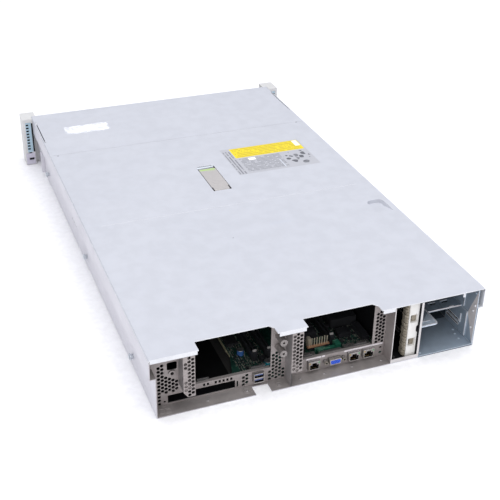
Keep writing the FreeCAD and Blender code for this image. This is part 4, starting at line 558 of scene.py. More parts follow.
# A pale copy for the bays' rear edges and the shelf's front: painted highlight.
BAY_RIM_HIGHLIGHT = Finish("Bay_Rim_Painted_Highlight", (0.66, 0.63, 0.63), (0.52, 0.5, 0.5), 0.4, 0.2, 20.0, 0.4, 0.4, 0.003)
PORT_STRIP = Finish("Port_Strip_Film", (0.72, 0.68, 0.70), (0.62, 0.58, 0.6), 0.45, 0.0, 8.0, 0.4, 0.3, 0.003)
MODULE_GREEN = BoardFinish("Header_Board", (0.02, 0.16, 0.10), (0.03, 0.12, 0.08), 0.4, 0.0, 12.0, 0.5,
    copper=(0.2, 0.4, 0.3))
WHITE = Finish("White_Moulding", (0.86, 0.86, 0.86), (0.74, 0.74, 0.74), 0.45, 0.0, 20.0, 0.4, 0.35, 0.005)
CREAM = Finish("Cream_Moulding", (0.80, 0.79, 0.77), (0.66, 0.64, 0.6), 0.45, 0.0, 18.0, 0.4, 0.35, 0.006)
GASKET = Finish("Olive_Gasket_Fabric", (0.34, 0.30, 0.24), (0.2, 0.175, 0.13), 0.7, 0.15, 4.0, 0.8, 0.8, 0.05)
EAR_CREAM = Finish("Ear_Cap_Moulding", (0.60, 0.60, 0.60), (0.54, 0.535, 0.53), 0.45, 0.0, 22.0, 0.4, 0.35, 0.006,
    worn=(0.85, 0.83, 0.8), scratches=0.2)
EAR_STEEL = Finish("Ear_Blue_Steel", (0.36, 0.50, 0.58), (0.45, 0.58, 0.66), 0.35, 0.4, 20.0, 0.5, 0.3, 0.003, Axis.Z,
    0.003)
LAVENDER = Finish("Lever_Moulding", (0.50, 0.48, 0.56), (0.42, 0.4, 0.48), 0.45, 0.0, 16.0, 0.4, 0.3, 0.006)
LATCH_MARKS_AND_SHADE = (
    Patch((-13, -63.8), (13, -57.5), (0.38, 0.62, 0.12), 0.75, 1.4),
    Patch((-12.5, -58.5), (3, -53), (0.42, 0.58, 0.25), 0.3, 2.2),
    # Black corners at the lever's rear and a dark strip down its right edge: painted shade of the gaps round the lever.
    Patch((-15, 0.5), (-11.8, 10), (0.01, 0.01, 0.012), 0.97, 0.4),
    Patch((11.8, 0.5), (15, 10), (0.01, 0.01, 0.012), 0.97, 0.4),
    Patch((12.9, -64), (15, 2), (0.05, 0.05, 0.055), 0.8, 0.5),
)
LATCH = LabelFinish("Latch_Lever_Moulding_And_Shade", (0.44, 0.42, 0.415), (0.39, 0.375, 0.37), 0.45, 0.0, 20.0, 0.5, 0.3, 0.006,
    worn=(0.6, 0.58, 0.57), scratches=0.2, patches=LATCH_MARKS_AND_SHADE)
LATCH_GREY = Finish("Latch_Moulding", (0.46, 0.44, 0.43), (0.4, 0.385, 0.375), 0.45, 0.0, 20.0, 0.5, 0.3, 0.006,
    worn=(0.6, 0.58, 0.57), scratches=0.2)
LATCH_PAN = Finish("Latch_Pan_Moulding", (0.60, 0.64, 0.70), (0.5, 0.54, 0.6), 0.45, 0.0, 20.0, 0.4, 0.3, 0.005)
DARK = Finish("Dark_Moulding", (0.022, 0.023, 0.027), (0.045, 0.045, 0.05), 0.45, 0.0, 20.0, 0.4, 0.3, 0.006)
# Near-black for recesses, gaps and holes: painted shade.
SHADE = Finish("Painted_Shade_Black", (0.006, 0.006, 0.008), (0.012, 0.012, 0.014), 0.6, 0.0, 20.0, 0.4, 0.3, 0.004,
    specular=0.2)
BLACK_FILM = Finish("Black_Insulator_Film", (0.005, 0.005, 0.006), (0.01, 0.01, 0.011), 0.5, 0.0, 40.0, 0.5, 0.8, 0.01,
    specular=0.2)
DARK_PAINT = Finish("Dark_Grey_Paint", (0.055, 0.056, 0.06), (0.08, 0.08, 0.085), 0.45, 0.1, 40.0, 0.5, 0.5, 0.006)
TIN = Finish("Tinned_Plate", (0.40, 0.38, 0.37), (0.30, 0.285, 0.28), 0.3, 0.8, 8.0, 0.5, 0.25, 0.003, Axis.X, 0.002)
NICKEL = Finish("Nickel_Plate", (0.56, 0.53, 0.50), (0.45, 0.42, 0.4), 0.3, 0.8, 6.0, 0.4, 0.25, 0.002)
STEEL = Finish("Bright_Steel", (0.66, 0.70, 0.74), (0.5, 0.54, 0.58), 0.22, 0.95, 6.0, 0.4, 0.25, 0.002)
TURNED = Finish("Turned_Standoff", (0.26, 0.238, 0.232), (0.2, 0.182, 0.178), 0.38, 0.5, 10.0, 0.4, 0.3, 0.003, Axis.X,
    0.004)
BRASS = Finish("Passivated_Brass", (0.42, 0.385, 0.33), (0.32, 0.29, 0.25), 0.3, 0.9, 5.0, 0.4, 0.25, 0.002)
GOLD = Finish("Gold_Flash", (0.85, 0.6, 0.25), (0.65, 0.45, 0.18), 0.25, 1.0, 5.0, 0.4, 0.25, 0.001)
MILL = Finish("Mill_Aluminium", (0.5, 0.5, 0.51), (0.4, 0.4, 0.41), 0.38, 0.9, 25.0, 0.4, 0.4, 0.003, Axis.Y, 0.003)
BLUE_PORT = Finish("Blue_Insert", (0.03, 0.11, 0.72), (0.03, 0.09, 0.6), 0.4, 0.0, 10.0, 0.4, 0.3, 0.004)
BLUE_TONGUE = Finish("Blue_Tongue", (0.05, 0.10, 0.30), (0.04, 0.08, 0.24), 0.45, 0.0, 10.0, 0.4, 0.3, 0.004)
BLUE_SLEEVE = Finish("Blue_Can_Sleeve", (0.06, 0.18, 0.5), (0.05, 0.14, 0.4), 0.35, 0.0, 6.0, 0.4, 0.3, 0.003)
TEAL = Finish("Teal_Can_Sleeve", (0.02, 0.30, 0.36), (0.02, 0.22, 0.26), 0.35, 0.0, 6.0, 0.4, 0.3, 0.003)
CHIP = Finish("Chip_Epoxy", (0.02, 0.021, 0.024), (0.035, 0.035, 0.04), 0.5, 0.0, 4.0, 0.4, 0.15, 0.003)
CERAMIC = Finish("Capacitor_Ceramic", (0.26, 0.29, 0.25), (0.34, 0.27, 0.2), 0.45, 0.0, 3.0, 0.4, 0.15, 0.002)
COPPER_BAR = Finish("Copper_Header_Bar", (0.72, 0.40, 0.24), (0.58, 0.3, 0.17), 0.4, 0.3, 8.0, 0.5, 0.3, 0.003)
PALE_PIN = Finish("Pale_Header_Pin", (0.92, 0.84, 0.68), (0.8, 0.7, 0.54), 0.35, 0.4, 5.0, 0.4, 0.2, 0.002)
# The board's cut edge, made pale to carry a painted highlight along it as well.
BOARD_RIM_HIGHLIGHT = Finish("Board_Cut_Rim_With_Highlight", (0.42, 0.40, 0.27), (0.3, 0.3, 0.19), 0.6, 0.0, 6.0, 0.5, 0.3, 0.006)
AMBER = Finish("Amber_Lamp", (0.34, 0.22, 0.06), (0.26, 0.17, 0.05), 0.25, 0.0, 4.0, 0.3, 0.2, 0.001, coat=0.6)
LAMP_GREEN = Finish("Green_Lamp", (0.10, 0.30, 0.13), (0.08, 0.24, 0.1), 0.25, 0.0, 4.0, 0.3, 0.2, 0.001, coat=0.6)
RED_MARK = Finish("Hot_Plug_Mark", (0.36, 0.06, 0.04), (0.28, 0.05, 0.035), 0.45, 0.0, 8.0, 0.4, 0.3, 0.004)
BOARD = BoardFinish("Green_Board", (0.010, 0.052, 0.040), (0.014, 0.038, 0.032), 0.4, 0.0, 30.0, 0.5,
    copper=(0.03, 0.12, 0.085))
MODULE_BOARD = BoardFinish("Module_Board", (0.006, 0.085, 0.05), (0.01, 0.06, 0.04), 0.34, 0.0, 30.0, 0.5)

NODE_FINISH: dict[str, Finish] = {
    "chassis_tray": SIDE_LIT,
    "front_top_panel": HOOD,
    "access_panel": HOOD,
    "rear_io_panel": ZINC,
    "left_riser_bracket": ZINC,
    "centre_bracket": ZINC,
    "riser_standoffs": TURNED,
    "rail_studs": STEEL,
    "latch_housing": LATCH_PAN,
    "hood_latch": LATCH,
    "cross_brace": SHADED_ZINC,
    "bay_wall": PALE_ZINC,
    "psu_cage": SLATE_REFLECTION,
    "bay_blank": CREAM,
    "power_backplane": BOARD,
    "system_board": BOARD,
    "cpu_sockets": DARK,
    "heatsinks": MILL,
    "memory_slots": DARK,
    "memory_modules": MODULE_BOARD,
    "riser_slots": DARK,
    "power_connector": CREAM,
    "board_capacitors": TEAL,
    "chipset_heatsink": DARK_PAINT,
    "coin_cell": NICKEL,
    "insulator_sheet": BLACK_FILM,
    "network_sockets": TIN,
    "video_connector": TIN,
    "usb_sockets": TIN,
    "air_baffle": DARK,
    "fan_cage": SHADED_ZINC,
    "fan_frames": DARK,
    "drive_cage": PALE_ZINC,
    "drive_backplane": BOARD,
    "drive_blanks": DARK,
    "box_blank": DARK_PAINT,
    "media_module": DARK,
    "ear_left": EAR_CREAM,
    "ear_right": EAR_CREAM,
    "ear_lever_left": LAVENDER,
    "ear_lever_right": LAVENDER,
    "power_button": LATCH_GREY,
}
for rotor in range(1, 7):
    NODE_FINISH[f"fan_rotor_{rotor}"] = DARK
for slot in range(1, 5):
    NODE_FINISH[f"drive_carrier_{slot}"] = DARK
    NODE_FINISH[f"disk_drive_{slot}"] = MILL
    NODE_FINISH[f"carrier_lever_{slot}"] = LATCH_GREY

BODY_OF = {node: body for body, nodes in frame["record"]["behaviour"]["bodies"].items() for node in nodes}


# ------------------------------------------------------------------ meshes


def to_object(name: str, mesh: bpy.types.Mesh, sharp: float = 32.0) -> bpy.types.Object:
    """Put a mesh in the scene, smooth between its sharp edges.

    Args:
        name: The piece's name.
        mesh: The mesh, already in metres and in place.
        sharp: The angle in degrees from which an edge stays sharp.

    Returns:
        The piece, at the origin.
    """
    mesh.polygons.foreach_set("use_smooth", [True] * len(mesh.polygons))
    mesh.set_sharp_from_angle(angle=math.radians(sharp))
    piece = bpy.data.objects.new(name, mesh)
    bpy.context.scene.collection.objects.link(piece)
    modifier = piece.modifiers.new("Flat_Faces", "WEIGHTED_NORMAL")
    modifier.keep_sharp = True
    piece.data = bpy.data.meshes.new_from_object(piece.evaluated_get(bpy.context.evaluated_depsgraph_get()))
    piece.modifiers.clear()
    return piece


Pick = Callable[[Vector, Vector], int]
Plane = tuple[Point, Point]


def skin(
    node: str,
    finishes: Sequence[Finish],
    pick: Pick | None = None,
    edge: Finish | None = None,
    width: float = 0.25,
    sharp: float = 28.0,
    cuts: Sequence[Plane] = (),
) -> bpy.types.Object:
    """Stand in for a CAD node with a copy whose edges are softened as folding, deburring or moulding leaves them.

    Args:
        node: The CAD node.
        finishes: The finishes of its faces.
        pick: Says from a face's middle, in millimetres, and its normal which finish it has.
        edge: The finish of its softened edges, or None for the first.
        width: The width of the softened edges.
        sharp: The angle in degrees from which an edge is softened.
        cuts: Planes, each a point and a normal, that part faces with two finishes.

    Returns:
        The piece, which rides on the node's body.
    """
    shape = bmesh.new()
    shape.from_mesh(frame["nodes"][node].data)
    bmesh.ops.remove_doubles(shape, verts=shape.verts, dist=1e-6)
    for point, normal in cuts:
        everything = [*shape.verts, *shape.edges, *shape.faces]
        bmesh.ops.bisect_plane(shape, geom=everything, plane_co=Vector(point) * MM, plane_no=normal, dist=1e-7)
    for face in shape.faces:
        face.material_index = pick(face.calc_center_median() / MM, face.normal) if pick else 0
    bmesh.ops.dissolve_limit(shape, angle_limit=math.radians(0.5), verts=shape.verts, edges=shape.edges,
        delimit={"MATERIAL"})
    edges = [e for e in shape.edges if len(e.link_faces) == 2 and e.calc_face_angle() > math.radians(sharp)]
    rim = len(finishes)
    bmesh.ops.bevel(shape, geom=edges, offset=width * MM, segments=2, profile=0.5, affect="EDGES", clamp_overlap=True,
        material=rim)
    mesh = bpy.data.meshes.new(node)
    shape.to_mesh(mesh)
    shape.free()
    for finish in (*finishes, edge or finishes[0]):
        mesh.materials.append(finish.make())
    piece = to_object(f"{node}_finished", mesh)
    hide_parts(node)
    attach(piece, BODY_OF[node])
    LOG.info("%s: %d faces", piece.name, len(piece.data.polygons))
    return piece


def rounded(points: Sequence[Flat], radius: float, steps: int = 5) -> list[Flat]:
    """An outline with every corner rounded.

    Args:
        points: The corners, anticlockwise.
        radius: The radius, cut to what each corner has room for.
        steps: Segments in each corner.

    Returns:
        The outline with its arcs.
    """
    outline: list[Flat] = []
    corners = [Vector(point) for point in points]
    for index, corner in enumerate(corners):
        back = corners[index - 1] - corner
        forth = corners[(index + 1) % len(corners)] - corner
        half = back.angle(forth) / 2
        reach = min(radius / math.tan(half), back.length * 0.49, forth.length * 0.49)
        start, end = corner + back.normalized() * reach, corner + forth.normalized() * reach
        for step in range(steps + 1):
            share = step / steps
            point = start.lerp(corner, share).lerp(corner.lerp(end, share), share)
            outline.append((point.x, point.y))
    return outline


def rectangle(x0: float, x1: float, y0: float, y1: float, radius: float = 0.0, steps: int = 5) -> list[Flat]:
    """A rectangle's outline, with rounded corners where a radius is given."""
    corners = [(x0, y0), (x1, y0), (x1, y1), (x0, y1)]
    return rounded(corners, radius, steps) if radius else corners


def ring(x: float, y: float, radius: float, steps: int = 20, turn: float = 0.0) -> list[Flat]:
    """A regular outline round a point."""
    angles = [turn + math.tau * step / steps for step in range(steps)]
    return [(x + radius * math.cos(angle), y + radius * math.sin(angle)) for angle in angles]


class Shape:
    """A mesh under construction, in millimetres. Each part of it has a finish and softened edges."""

    def __init__(self) -> None:
        """Start with nothing."""
        self.mesh = bmesh.new()
        self.finishes: list[Finish] = []

    def merge(self, part: bmesh.types.BMesh, finish: Finish, soften: float, segments: int = 2) -> None:
        """Add a part and soften its edges.

        Args:
            part: The part, which is used up.
            finish: Its finish.
            soften: The width of its softened edges.
            segments: The segments across each.
        """
        if soften:
            edges = [e for e in part.edges if len(e.link_faces) == 2 and e.calc_face_angle() > 0.45]
            bmesh.ops.bevel(part, geom=edges, offset=soften, segments=segments, profile=0.5, affect="EDGES",
                clamp_overlap=True)
        if finish not in self.finishes:
            self.finishes.append(finish)
        for face in part.faces:
            face.material_index = self.finishes.index(finish)
        carrier = bpy.data.meshes.new("Part")
        part.to_mesh(carrier)
        part.free()
        self.mesh.from_mesh(carrier)
        bpy.data.meshes.remove(carrier)

    def prism(self, outline: Sequence[Flat], axis: Axis, low: float, high: float, finish: Finish, soften: float = 0.1,
        holes: Sequence[Sequence[Flat]] = ()) -> "Shape":
        """Add an outline carried along an axis.

        Args:
            outline: Its corners on the other two axes, in the order X, Y, Z.
            axis: The axis.
            low: Where it starts.
            high: Where it ends.
            finish: Its finish.
            soften: The width of its softened edges.
            holes: Outlines left open.

        Returns:
            This shape.
        """
        part = bmesh.new()

        def place(point: Flat, level: float) -> Vector:
            values = list(point)
            values.insert(axis.value, level)
            return Vector(values)

        loops = [list(outline), *[list(hole) for hole in holes]]
        rings = [([part.verts.new(place(p, low)) for p in loop], [part.verts.new(place(p, high)) for p in loop])
            for loop in loops]
        for bottom, top in rings:
            for index in range(len(bottom)):
                after = (index + 1) % len(bottom)
                part.faces.new((bottom[index], bottom[after], top[after], top[index]))
        if holes:
            flat = [[Vector((*point, 0.0)) for point in loop] for loop in loops]
            for side in (0, 1):
                corners = [vert for pair in rings for vert in pair[side]]
                for triangle in tessellate_polygon(flat):
                    part.faces.new([corners[index] for index in triangle])
        else:
            part.faces.new(rings[0][0])
            part.faces.new(rings[0][1])
        bmesh.ops.recalc_face_normals(part, faces=part.faces)
        self.merge(part, finish, soften)
        return self

    def box(self, low: Point, high: Point, finish: Finish, soften: float = 0.12) -> "Shape":
        """Add a block with softened edges between two corners."""
        return self.prism(rectangle(low[0], high[0], low[1], high[1]), Axis.Z, low[2], high[2], finish, soften)

    def lathe(self, profile: Sequence[Flat], origin: Point, axis: Axis, finish: Finish, steps: int = 20,
        flip: bool = False) -> "Shape":
        """Add a turned part.

        Args:
            profile: Radius and height of each point, from one end to the other.
            origin: Where the height is 0.
            axis: The axis that it turns about.
            finish: Its finish.
            steps: Segments in a full turn.
            flip: Whether heights run towards the axis's low end.

        Returns:
            This shape.
        """
        part = bmesh.new()
        rings: list[list[bmesh.types.BMVert]] = []
        for radius, height in profile:
            level = -height if flip else height
            places = [(0.0, 0.0)] if radius < 1e-6 else ring(0.0, 0.0, radius, steps)
            row: list[bmesh.types.BMVert] = []
            for across, up in places:
                values = [across, up]
                values.insert(axis.value, level)
                row.append(part.verts.new(Vector(values) + Vector(origin)))
            rings.append(row)
        for below, above in zip(rings, rings[1:]):
            for index in range(steps):
                after = (index + 1) % steps
                corners = {below[index % len(below)]: 0, below[after % len(below)]: 0, above[after % len(above)]: 0,
                    above[index % len(above)]: 0}
                if len(corners) > 2:
                    part.faces.new(list(corners))
        for row in (rings[0], rings[-1]):
            if len(row) > 1:
                part.faces.new(row)
        bmesh.ops.recalc_face_normals(part, faces=part.faces)
        self.merge(part, finish, 0.0)
        return self

    def to_mesh(self, name: str) -> bpy.types.Mesh:
        """Close the shape and give its mesh, in metres, with its materials."""
        bmesh.ops.scale(self.mesh, vec=(MM, MM, MM), verts=self.mesh.verts)
        mesh = bpy.data.meshes.new(name)
        self.mesh.to_mesh(mesh)
        self.mesh.free()
        for finish in self.finishes:
            mesh.materials.append(finish.make())
        return mesh

    def build(self, name: str, body: str, slot: str, replaces: Sequence[str] = (),
        sharp: float = 32.0) -> bpy.types.Object:
        """Close the shape and put it in the scene.

        Args:
            name: The piece's name.
            body: The body that it rides on.
            slot: The material slot that it belongs to; not used.
            replaces: CAD nodes that it stands for.
            sharp: The angle in degrees from which an edge stays sharp.

        Returns:
            The piece.
        """
        piece = to_object(name, self.to_mesh(name), sharp)
        if replaces:
            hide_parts(*replaces)
        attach(piece, body)
        LOG.info("%s: %d faces", name, len(piece.data.polygons))
        return piece


Spot = tuple[Point, Point]


class Repeater:
    """Geometry Nodes that set copies of a pattern piece on points."""

    tree: bpy.types.NodeTree | None = None

    @classmethod
    def nodes(cls) -> bpy.types.NodeTree:
        """The node tree, built the first time it is asked for."""
        if cls.tree:
            return cls.tree
        tree = bpy.data.node_groups.new("Copies_On_Points", "GeometryNodeTree")
        tree.is_modifier = True
        tree.interface.new_socket(name="Points", in_out="INPUT", socket_type="NodeSocketGeometry")
        tree.interface.new_socket(name="Pattern", in_out="INPUT", socket_type="NodeSocketObject")
        tree.interface.new_socket(name="Finish", in_out="INPUT", socket_type="NodeSocketMaterial")
        tree.interface.new_socket(name="Turn Spread", in_out="INPUT", socket_type="NodeSocketFloat")
        tree.interface.new_socket(name="Size Spread", in_out="INPUT", socket_type="NodeSocketFloat")
        tree.interface.new_socket(name="Seed", in_out="INPUT", socket_type="NodeSocketInt")
        tree.interface.new_socket(name="Copies", in_out="OUTPUT", socket_type="NodeSocketGeometry")
        graph = Graph(tree)
        given = graph.add("NodeGroupInput")
        pattern = graph.add("GeometryNodeObjectInfo", {"Object": given.outputs["Pattern"]}, transform_space="ORIGINAL")
        turn = graph.add("GeometryNodeInputNamedAttribute", {"Name": "turn"}, data_type="FLOAT_VECTOR").outputs[0]
        drift = cls.spread(graph, given.outputs["Turn Spread"], given.outputs["Seed"])
        spin = graph.add("FunctionNodeEulerToRotation", {0: graph.add("ShaderNodeCombineXYZ", {2: drift}).outputs[0]})
        base = graph.add("FunctionNodeEulerToRotation", {0: turn})
        aim = graph.add("FunctionNodeRotateRotation", {0: base.outputs[0], 1: spin.outputs[0]}, rotation_space="LOCAL")
        grow = cls.spread(graph, given.outputs["Size Spread"], graph.math("ADD", given.outputs["Seed"], 17.0))
        scale = graph.add("ShaderNodeVectorMath", {0: (1.0, 1.0, 1.0), 3: graph.math("ADD", grow, 1.0)},
            operation="SCALE")
        values = {"Points": given.outputs["Points"], "Instance": pattern.outputs["Geometry"],
            "Rotation": aim.outputs[0], "Scale": scale.outputs[0]}
        copies = graph.add("GeometryNodeInstanceOnPoints", values)
        solid = graph.add("GeometryNodeRealizeInstances", {0: copies.outputs[0]})
        done = graph.add("GeometryNodeSetMaterial", {"Geometry": solid.outputs[0], "Material": given.outputs["Finish"]})
        graph.add("NodeGroupOutput", {0: done.outputs[0]})
        cls.tree = tree
        return tree

    @staticmethod
    def spread(graph: Graph, reach: Socket, seed: Socket) -> Socket:
        """A random value between minus and plus a reach."""
        low = graph.math("MULTIPLY", reach, -1.0)
        return graph.add("FunctionNodeRandomValue", {2: low, 3: reach, "Seed": seed}, data_type="FLOAT").outputs[1]

    @classmethod
    def copies(cls, pattern: Shape, spots: Sequence[Spot], name: str, turn_spread: float = 0.0,
        size_spread: float = 0.0, seed: int = 3) -> bpy.types.Mesh:
        """Set a copy of the pattern on every spot.

        Args:
            pattern: A shape with one finish, made around the origin.
            spots: The place of each copy, in millimetres, and its turn about X, Y and Z in radians.
            name: The name of the mesh.
            turn_spread: How far each copy may turn about its own upright, in radians.
            size_spread: How far each copy's size may vary, as a share.
            seed: The seed of both.

        Returns:
            One plain mesh with every copy in place.
        """
        finish = pattern.finishes[0]
        stamp = bpy.data.objects.new("Pattern", pattern.to_mesh("Pattern"))
        points = bpy.data.meshes.new("Points")
        points.from_pydata([Vector(place) * MM for place, _ in spots], [], [])
        turns = points.attributes.new("turn", "FLOAT_VECTOR", "POINT")
        turns.data.foreach_set("vector", [value for _, turn in spots for value in turn])
        holder = bpy.data.objects.new(name, points)
        for item in (stamp, holder):
            bpy.context.scene.collection.objects.link(item)
        modifier = holder.modifiers.new("Copies", "NODES")
        modifier.node_group = cls.nodes()
        values = {"Pattern": stamp, "Finish": finish.make(), "Turn Spread": turn_spread, "Size Spread": size_spread,
            "Seed": seed}
        for item in modifier.node_group.interface.items_tree:
            if item.in_out == "INPUT" and item.name in values:
                modifier[item.identifier] = values[item.name]
        view = bpy.context.evaluated_depsgraph_get()
        mesh = bpy.data.meshes.new_from_object(holder.evaluated_get(view))
        mesh.name = name
        for item in (holder, stamp):
            data = item.data
            bpy.data.objects.remove(item)
            bpy.data.meshes.remove(data)
        return mesh

    @classmethod
    def place(cls, name: str, pattern: Shape, spots: Sequence[Spot], body: str, slot: str, turn_spread: float = 0.0,
        size_spread: float = 0.0, seed: int = 3, sharp: float = 32.0) -> bpy.types.Object:
        """Set copies on every spot as one piece that rides on a body."""
        mesh = cls.copies(pattern, spots, name, turn_spread, size_spread, seed)
        piece = to_object(name, mesh, sharp)
        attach(piece, body)
        LOG.info("%s: %d copies, %d faces", name, len(spots), len(mesh.polygons))
        return piece


REAR_WARD: Point = (-math.pi / 2, 0.0, 0.0)
FRONT_WARD: Point = (math.pi / 2, 0.0, 0.0)
UP_WARD: Point = (0.0, 0.0, 0.0)
LEFT_WARD: Point = (0.0, math.pi / 2, 0.0)
RIGHT_WARD: Point = (0.0, -math.pi / 2, 0.0)


def rivet(radius: float, height: float, finish: Finish) -> Shape:
    """A domed rivet or dimple that stands up from the origin."""
    profile = [(radius, -0.3), (radius, height * 0.25), (radius * 0.86, height * 0.62), (radius * 0.5, height * 0.93),
        (0.0, height)]
    return Shape().lathe(profile, (0, 0, 0), Axis.Z, finish, 16)


def screw(radius: float, height: float, finish: Finish) -> Shape:
    """A pan-head screw with a six-lobed socket, its head standing up from the origin."""
    head = Shape()
    lobes = [(0.52 * radius * (1 + 0.16 * math.cos(6 * a)) * math.cos(a),
        0.52 * radius * (1 + 0.16 * math.cos(6 * a)) * math.sin(a)) for a in [math.tau * k / 36 for k in range(36)]]
    head.prism(ring(0, 0, radius, 36), Axis.Z, 0.0, height, finish, height * 0.3, holes=[lobes])
    head.prism(ring(0, 0, radius * 0.7, 18), Axis.Z, 0.0, height * 0.3, finish, 0.0)
    return head


# ------------------------------------------------------------------ sheet metal


@dataclass
class Sheets:
    """The folded sheets, each with the finish that its outer faces, inner faces and cut edges show."""

    rear: float = 388.0
    wall_rear: float = 368.0
    tub: float = 217.0
    wing: float = 224.0

    def hood(self) -> None:
        """The sliding access panel and the fixed panel in front of it."""

        def pick(middle: Vector, normal: Vector) -> int:
            # Upward faces take the paint; the sides, rear faces and tab take the painted highlight; faces below the top
            # take the painted shade of the underside.
            if normal.z > 0.05:
                return 0
            tab = abs(middle.x + 195.0) < 1.6 and middle.y > 383.0 and middle.z < 86.0
            if tab or abs(middle.x) > self.wing - 0.5 or (middle.y > self.rear - 0.5 and middle.z > 80):
                return 1
            return 2 if middle.z < 86.5 or normal.z < -0.4 else 1

        skin("access_panel", (HOOD, HOOD_EDGE_HIGHLIGHT, UNDERSIDE), pick, HOOD_EDGE_HIGHLIGHT, 0.3)
        skin("front_top_panel", (HOOD, HOOD_EDGE_HIGHLIGHT, UNDERSIDE), pick, HOOD, 0.3)

    def tray(self) -> None:
        """The tray, one zinc sheet: painted light makes its outer faces pale, the lip where its floor runs out behind
        the rear wall keeps the brighter warm grey, and painted shade darkens it inside.
        """

        def pick(middle: Vector, normal: Vector) -> int:
            # Outer faces take the painted light of the side and faces inside the painted shade, while the lip keeps its
            # warm grey; the right wing's rear end and the floor's edge under the narrow bay take the painted highlight,
            # and the bay's strip takes the slate.
            if middle.x < -216.5 and middle.y > self.wall_rear:
                return 4
            outside = abs(middle.x) > self.tub - 1 and abs(normal.x) > 0.5 and middle.x * normal.x > 0
            ledge = abs(middle.x) > self.tub + 0.3 and middle.y < self.wall_rear
            if outside or ledge or middle.z < 0.5 or normal.z < -0.5:
                return 0
            if middle.x < -134.5 and middle.y > self.wall_rear - 0.5 and middle.y < self.rear - 0.6:
                return 6
            if middle.y > self.rear - 0.6:
                return 3 if middle.x > -94 else (4 if middle.x > -134.5 else 5)
            if middle.y > self.wall_rear - 0.5:
                return 1
            return 2

        cuts: list[Plane] = [((0.0, self.wall_rear, 0.0), (0.0, 1.0, 0.0))]
        cuts += [((x, 0.0, 0.0), (1.0, 0.0, 0.0)) for x in (-134.5, -93.9)]
        skin("chassis_tray", (SIDE_LIT, LIP_ZINC, SHADED_ZINC, SIDE_EDGE, HOOD_EDGE_HIGHLIGHT, SLATE_DARK, SLATE_REFLECTION), pick, SIDE_EDGE, 0.22,
            cuts=cuts)

    def rear_wall(self) -> None:
        """The rear wall and the two perforated brackets: warm plate outside, painted shade inside the openings and a
        painted highlight on the ledge's tops and cut edges.
        """

        def wall(middle: Vector, normal: Vector) -> int:
            # Rear-facing faces keep the zinc, the ledge's tops take the painted highlight, and faces inside the
            # openings take painted shade.
            if middle.y > self.wall_rear - 0.2 and normal.y > 0.3:
                return 0
            if middle.z < 22.5 and normal.z > 0.5 and middle.y > 360:
                return 2
            return 1

        skin("rear_io_panel", (ZINC, SHADED_ZINC, ZINC_EDGE_HIGHLIGHT), wall, ZINC_EDGE_HIGHLIGHT, 0.14)
        bracket_side = {"left_riser_bracket": (168.0, 183.0), "centre_bracket": (30.0, 45.0)}
        for node, (low, high) in bracket_side.items():

            def bracket(middle: Vector, normal: Vector, low: float = low, high: float = high) -> int:
                # Rear faces keep the zinc, the webs' inner faces take painted shade, and the rest take the pale zinc.
                if middle.y > self.rear - 0.4:
                    return 0
                return 1 if low + 0.2 < middle.x < high - 0.2 else 2

            skin(node, (ZINC, SHADED_ZINC, PALE_ZINC), bracket, ZINC_EDGE_HIGHLIGHT, 0.14)

    def bays(self) -> None:
        """The power supply bay, the wall of the narrow bay beside it and the blank in it."""

        def cage(middle: Vector, normal: Vector) -> int:
            # Faces forward of 300 mm and the divider's faces towards the narrow bay take black painted shade; faces
            # forward of 322 mm, facing down or beside the divider take the slate's painted shade; the rear edges and
            # the shelf's top and front take the painted highlights.
            if middle.y > self.rear - 0.4 and middle.x > -135:
                return 3
            if middle.x > -131.6 and normal.x > 0.5:
                return 4
            if middle.y > 354 and 42.9 < middle.z < 44.1:
                return 2 if normal.z > 0.5 or middle.y > 383 - 0.4 else 3
            if middle.y < 300:
                return 4
            if normal.z < -0.4 or middle.x > -135 or middle.y < 322:
                return 1
            return 0

        depths: list[Plane] = [((0.0, y, 0.0), (0.0, 1.0, 0.0)) for y in (300.0, 322.0)]
        skin("psu_cage", (SLATE_REFLECTION, SLATE_DARK, SLATE_HIGHLIGHT, BAY_RIM_HIGHLIGHT, SHADE), cage, SLATE_EDGE_HIGHLIGHT, 0.22, cuts=depths)

        def wall(middle: Vector, normal: Vector) -> int:
            # Inside the narrow bay the wall takes black painted shade; its rear edges take the pale painted highlight.
            if middle.y > self.rear - 0.4:
                return 1
            if normal.x > 0.5:
                return 0 if middle.y > 368 else 2
            return 3 if middle.y > 385 else 2

        cut = ((0.0, 368.0, 0.0), (0.0, 1.0, 0.0))
        skin("bay_wall", (ZINC, BAY_RIM_HIGHLIGHT, SHADE, BAY_RIM_HIGHLIGHT), wall, BAY_RIM_HIGHLIGHT, 0.22, cuts=(cut,))
        skin("bay_blank", (CREAM,), edge=CREAM, width=0.35)

    def fittings(self) -> None:
        """Standoffs, studs and mouldings that only need their edges softened."""
        skin("riser_standoffs", (TURNED,), edge=ZINC_EDGE_HIGHLIGHT, width=0.35, sharp=40)
        skin("rail_studs", (STEEL,), edge=STEEL, width=0.4, sharp=40)
        # The latch housing is made black all over: painted shade for the recess round the lever.
        skin("latch_housing", (SHADE,), width=0.3)
        skin("hood_latch", (LATCH,), width=0.45)
        skin("ear_left", (EAR_CREAM,), width=0.6)
        skin("ear_right", (EAR_CREAM,), width=0.6)
        for name in ("left", "right"):
            skin(f"ear_lever_{name}", (LAVENDER,), width=0.5)

    def build(self) -> None:
        """Finish every sheet and fitting."""
        self.hood()
        self.tray()
        self.rear_wall()
        self.bays()
        self.fittings()


# ------------------------------------------------------------------ hood and latch


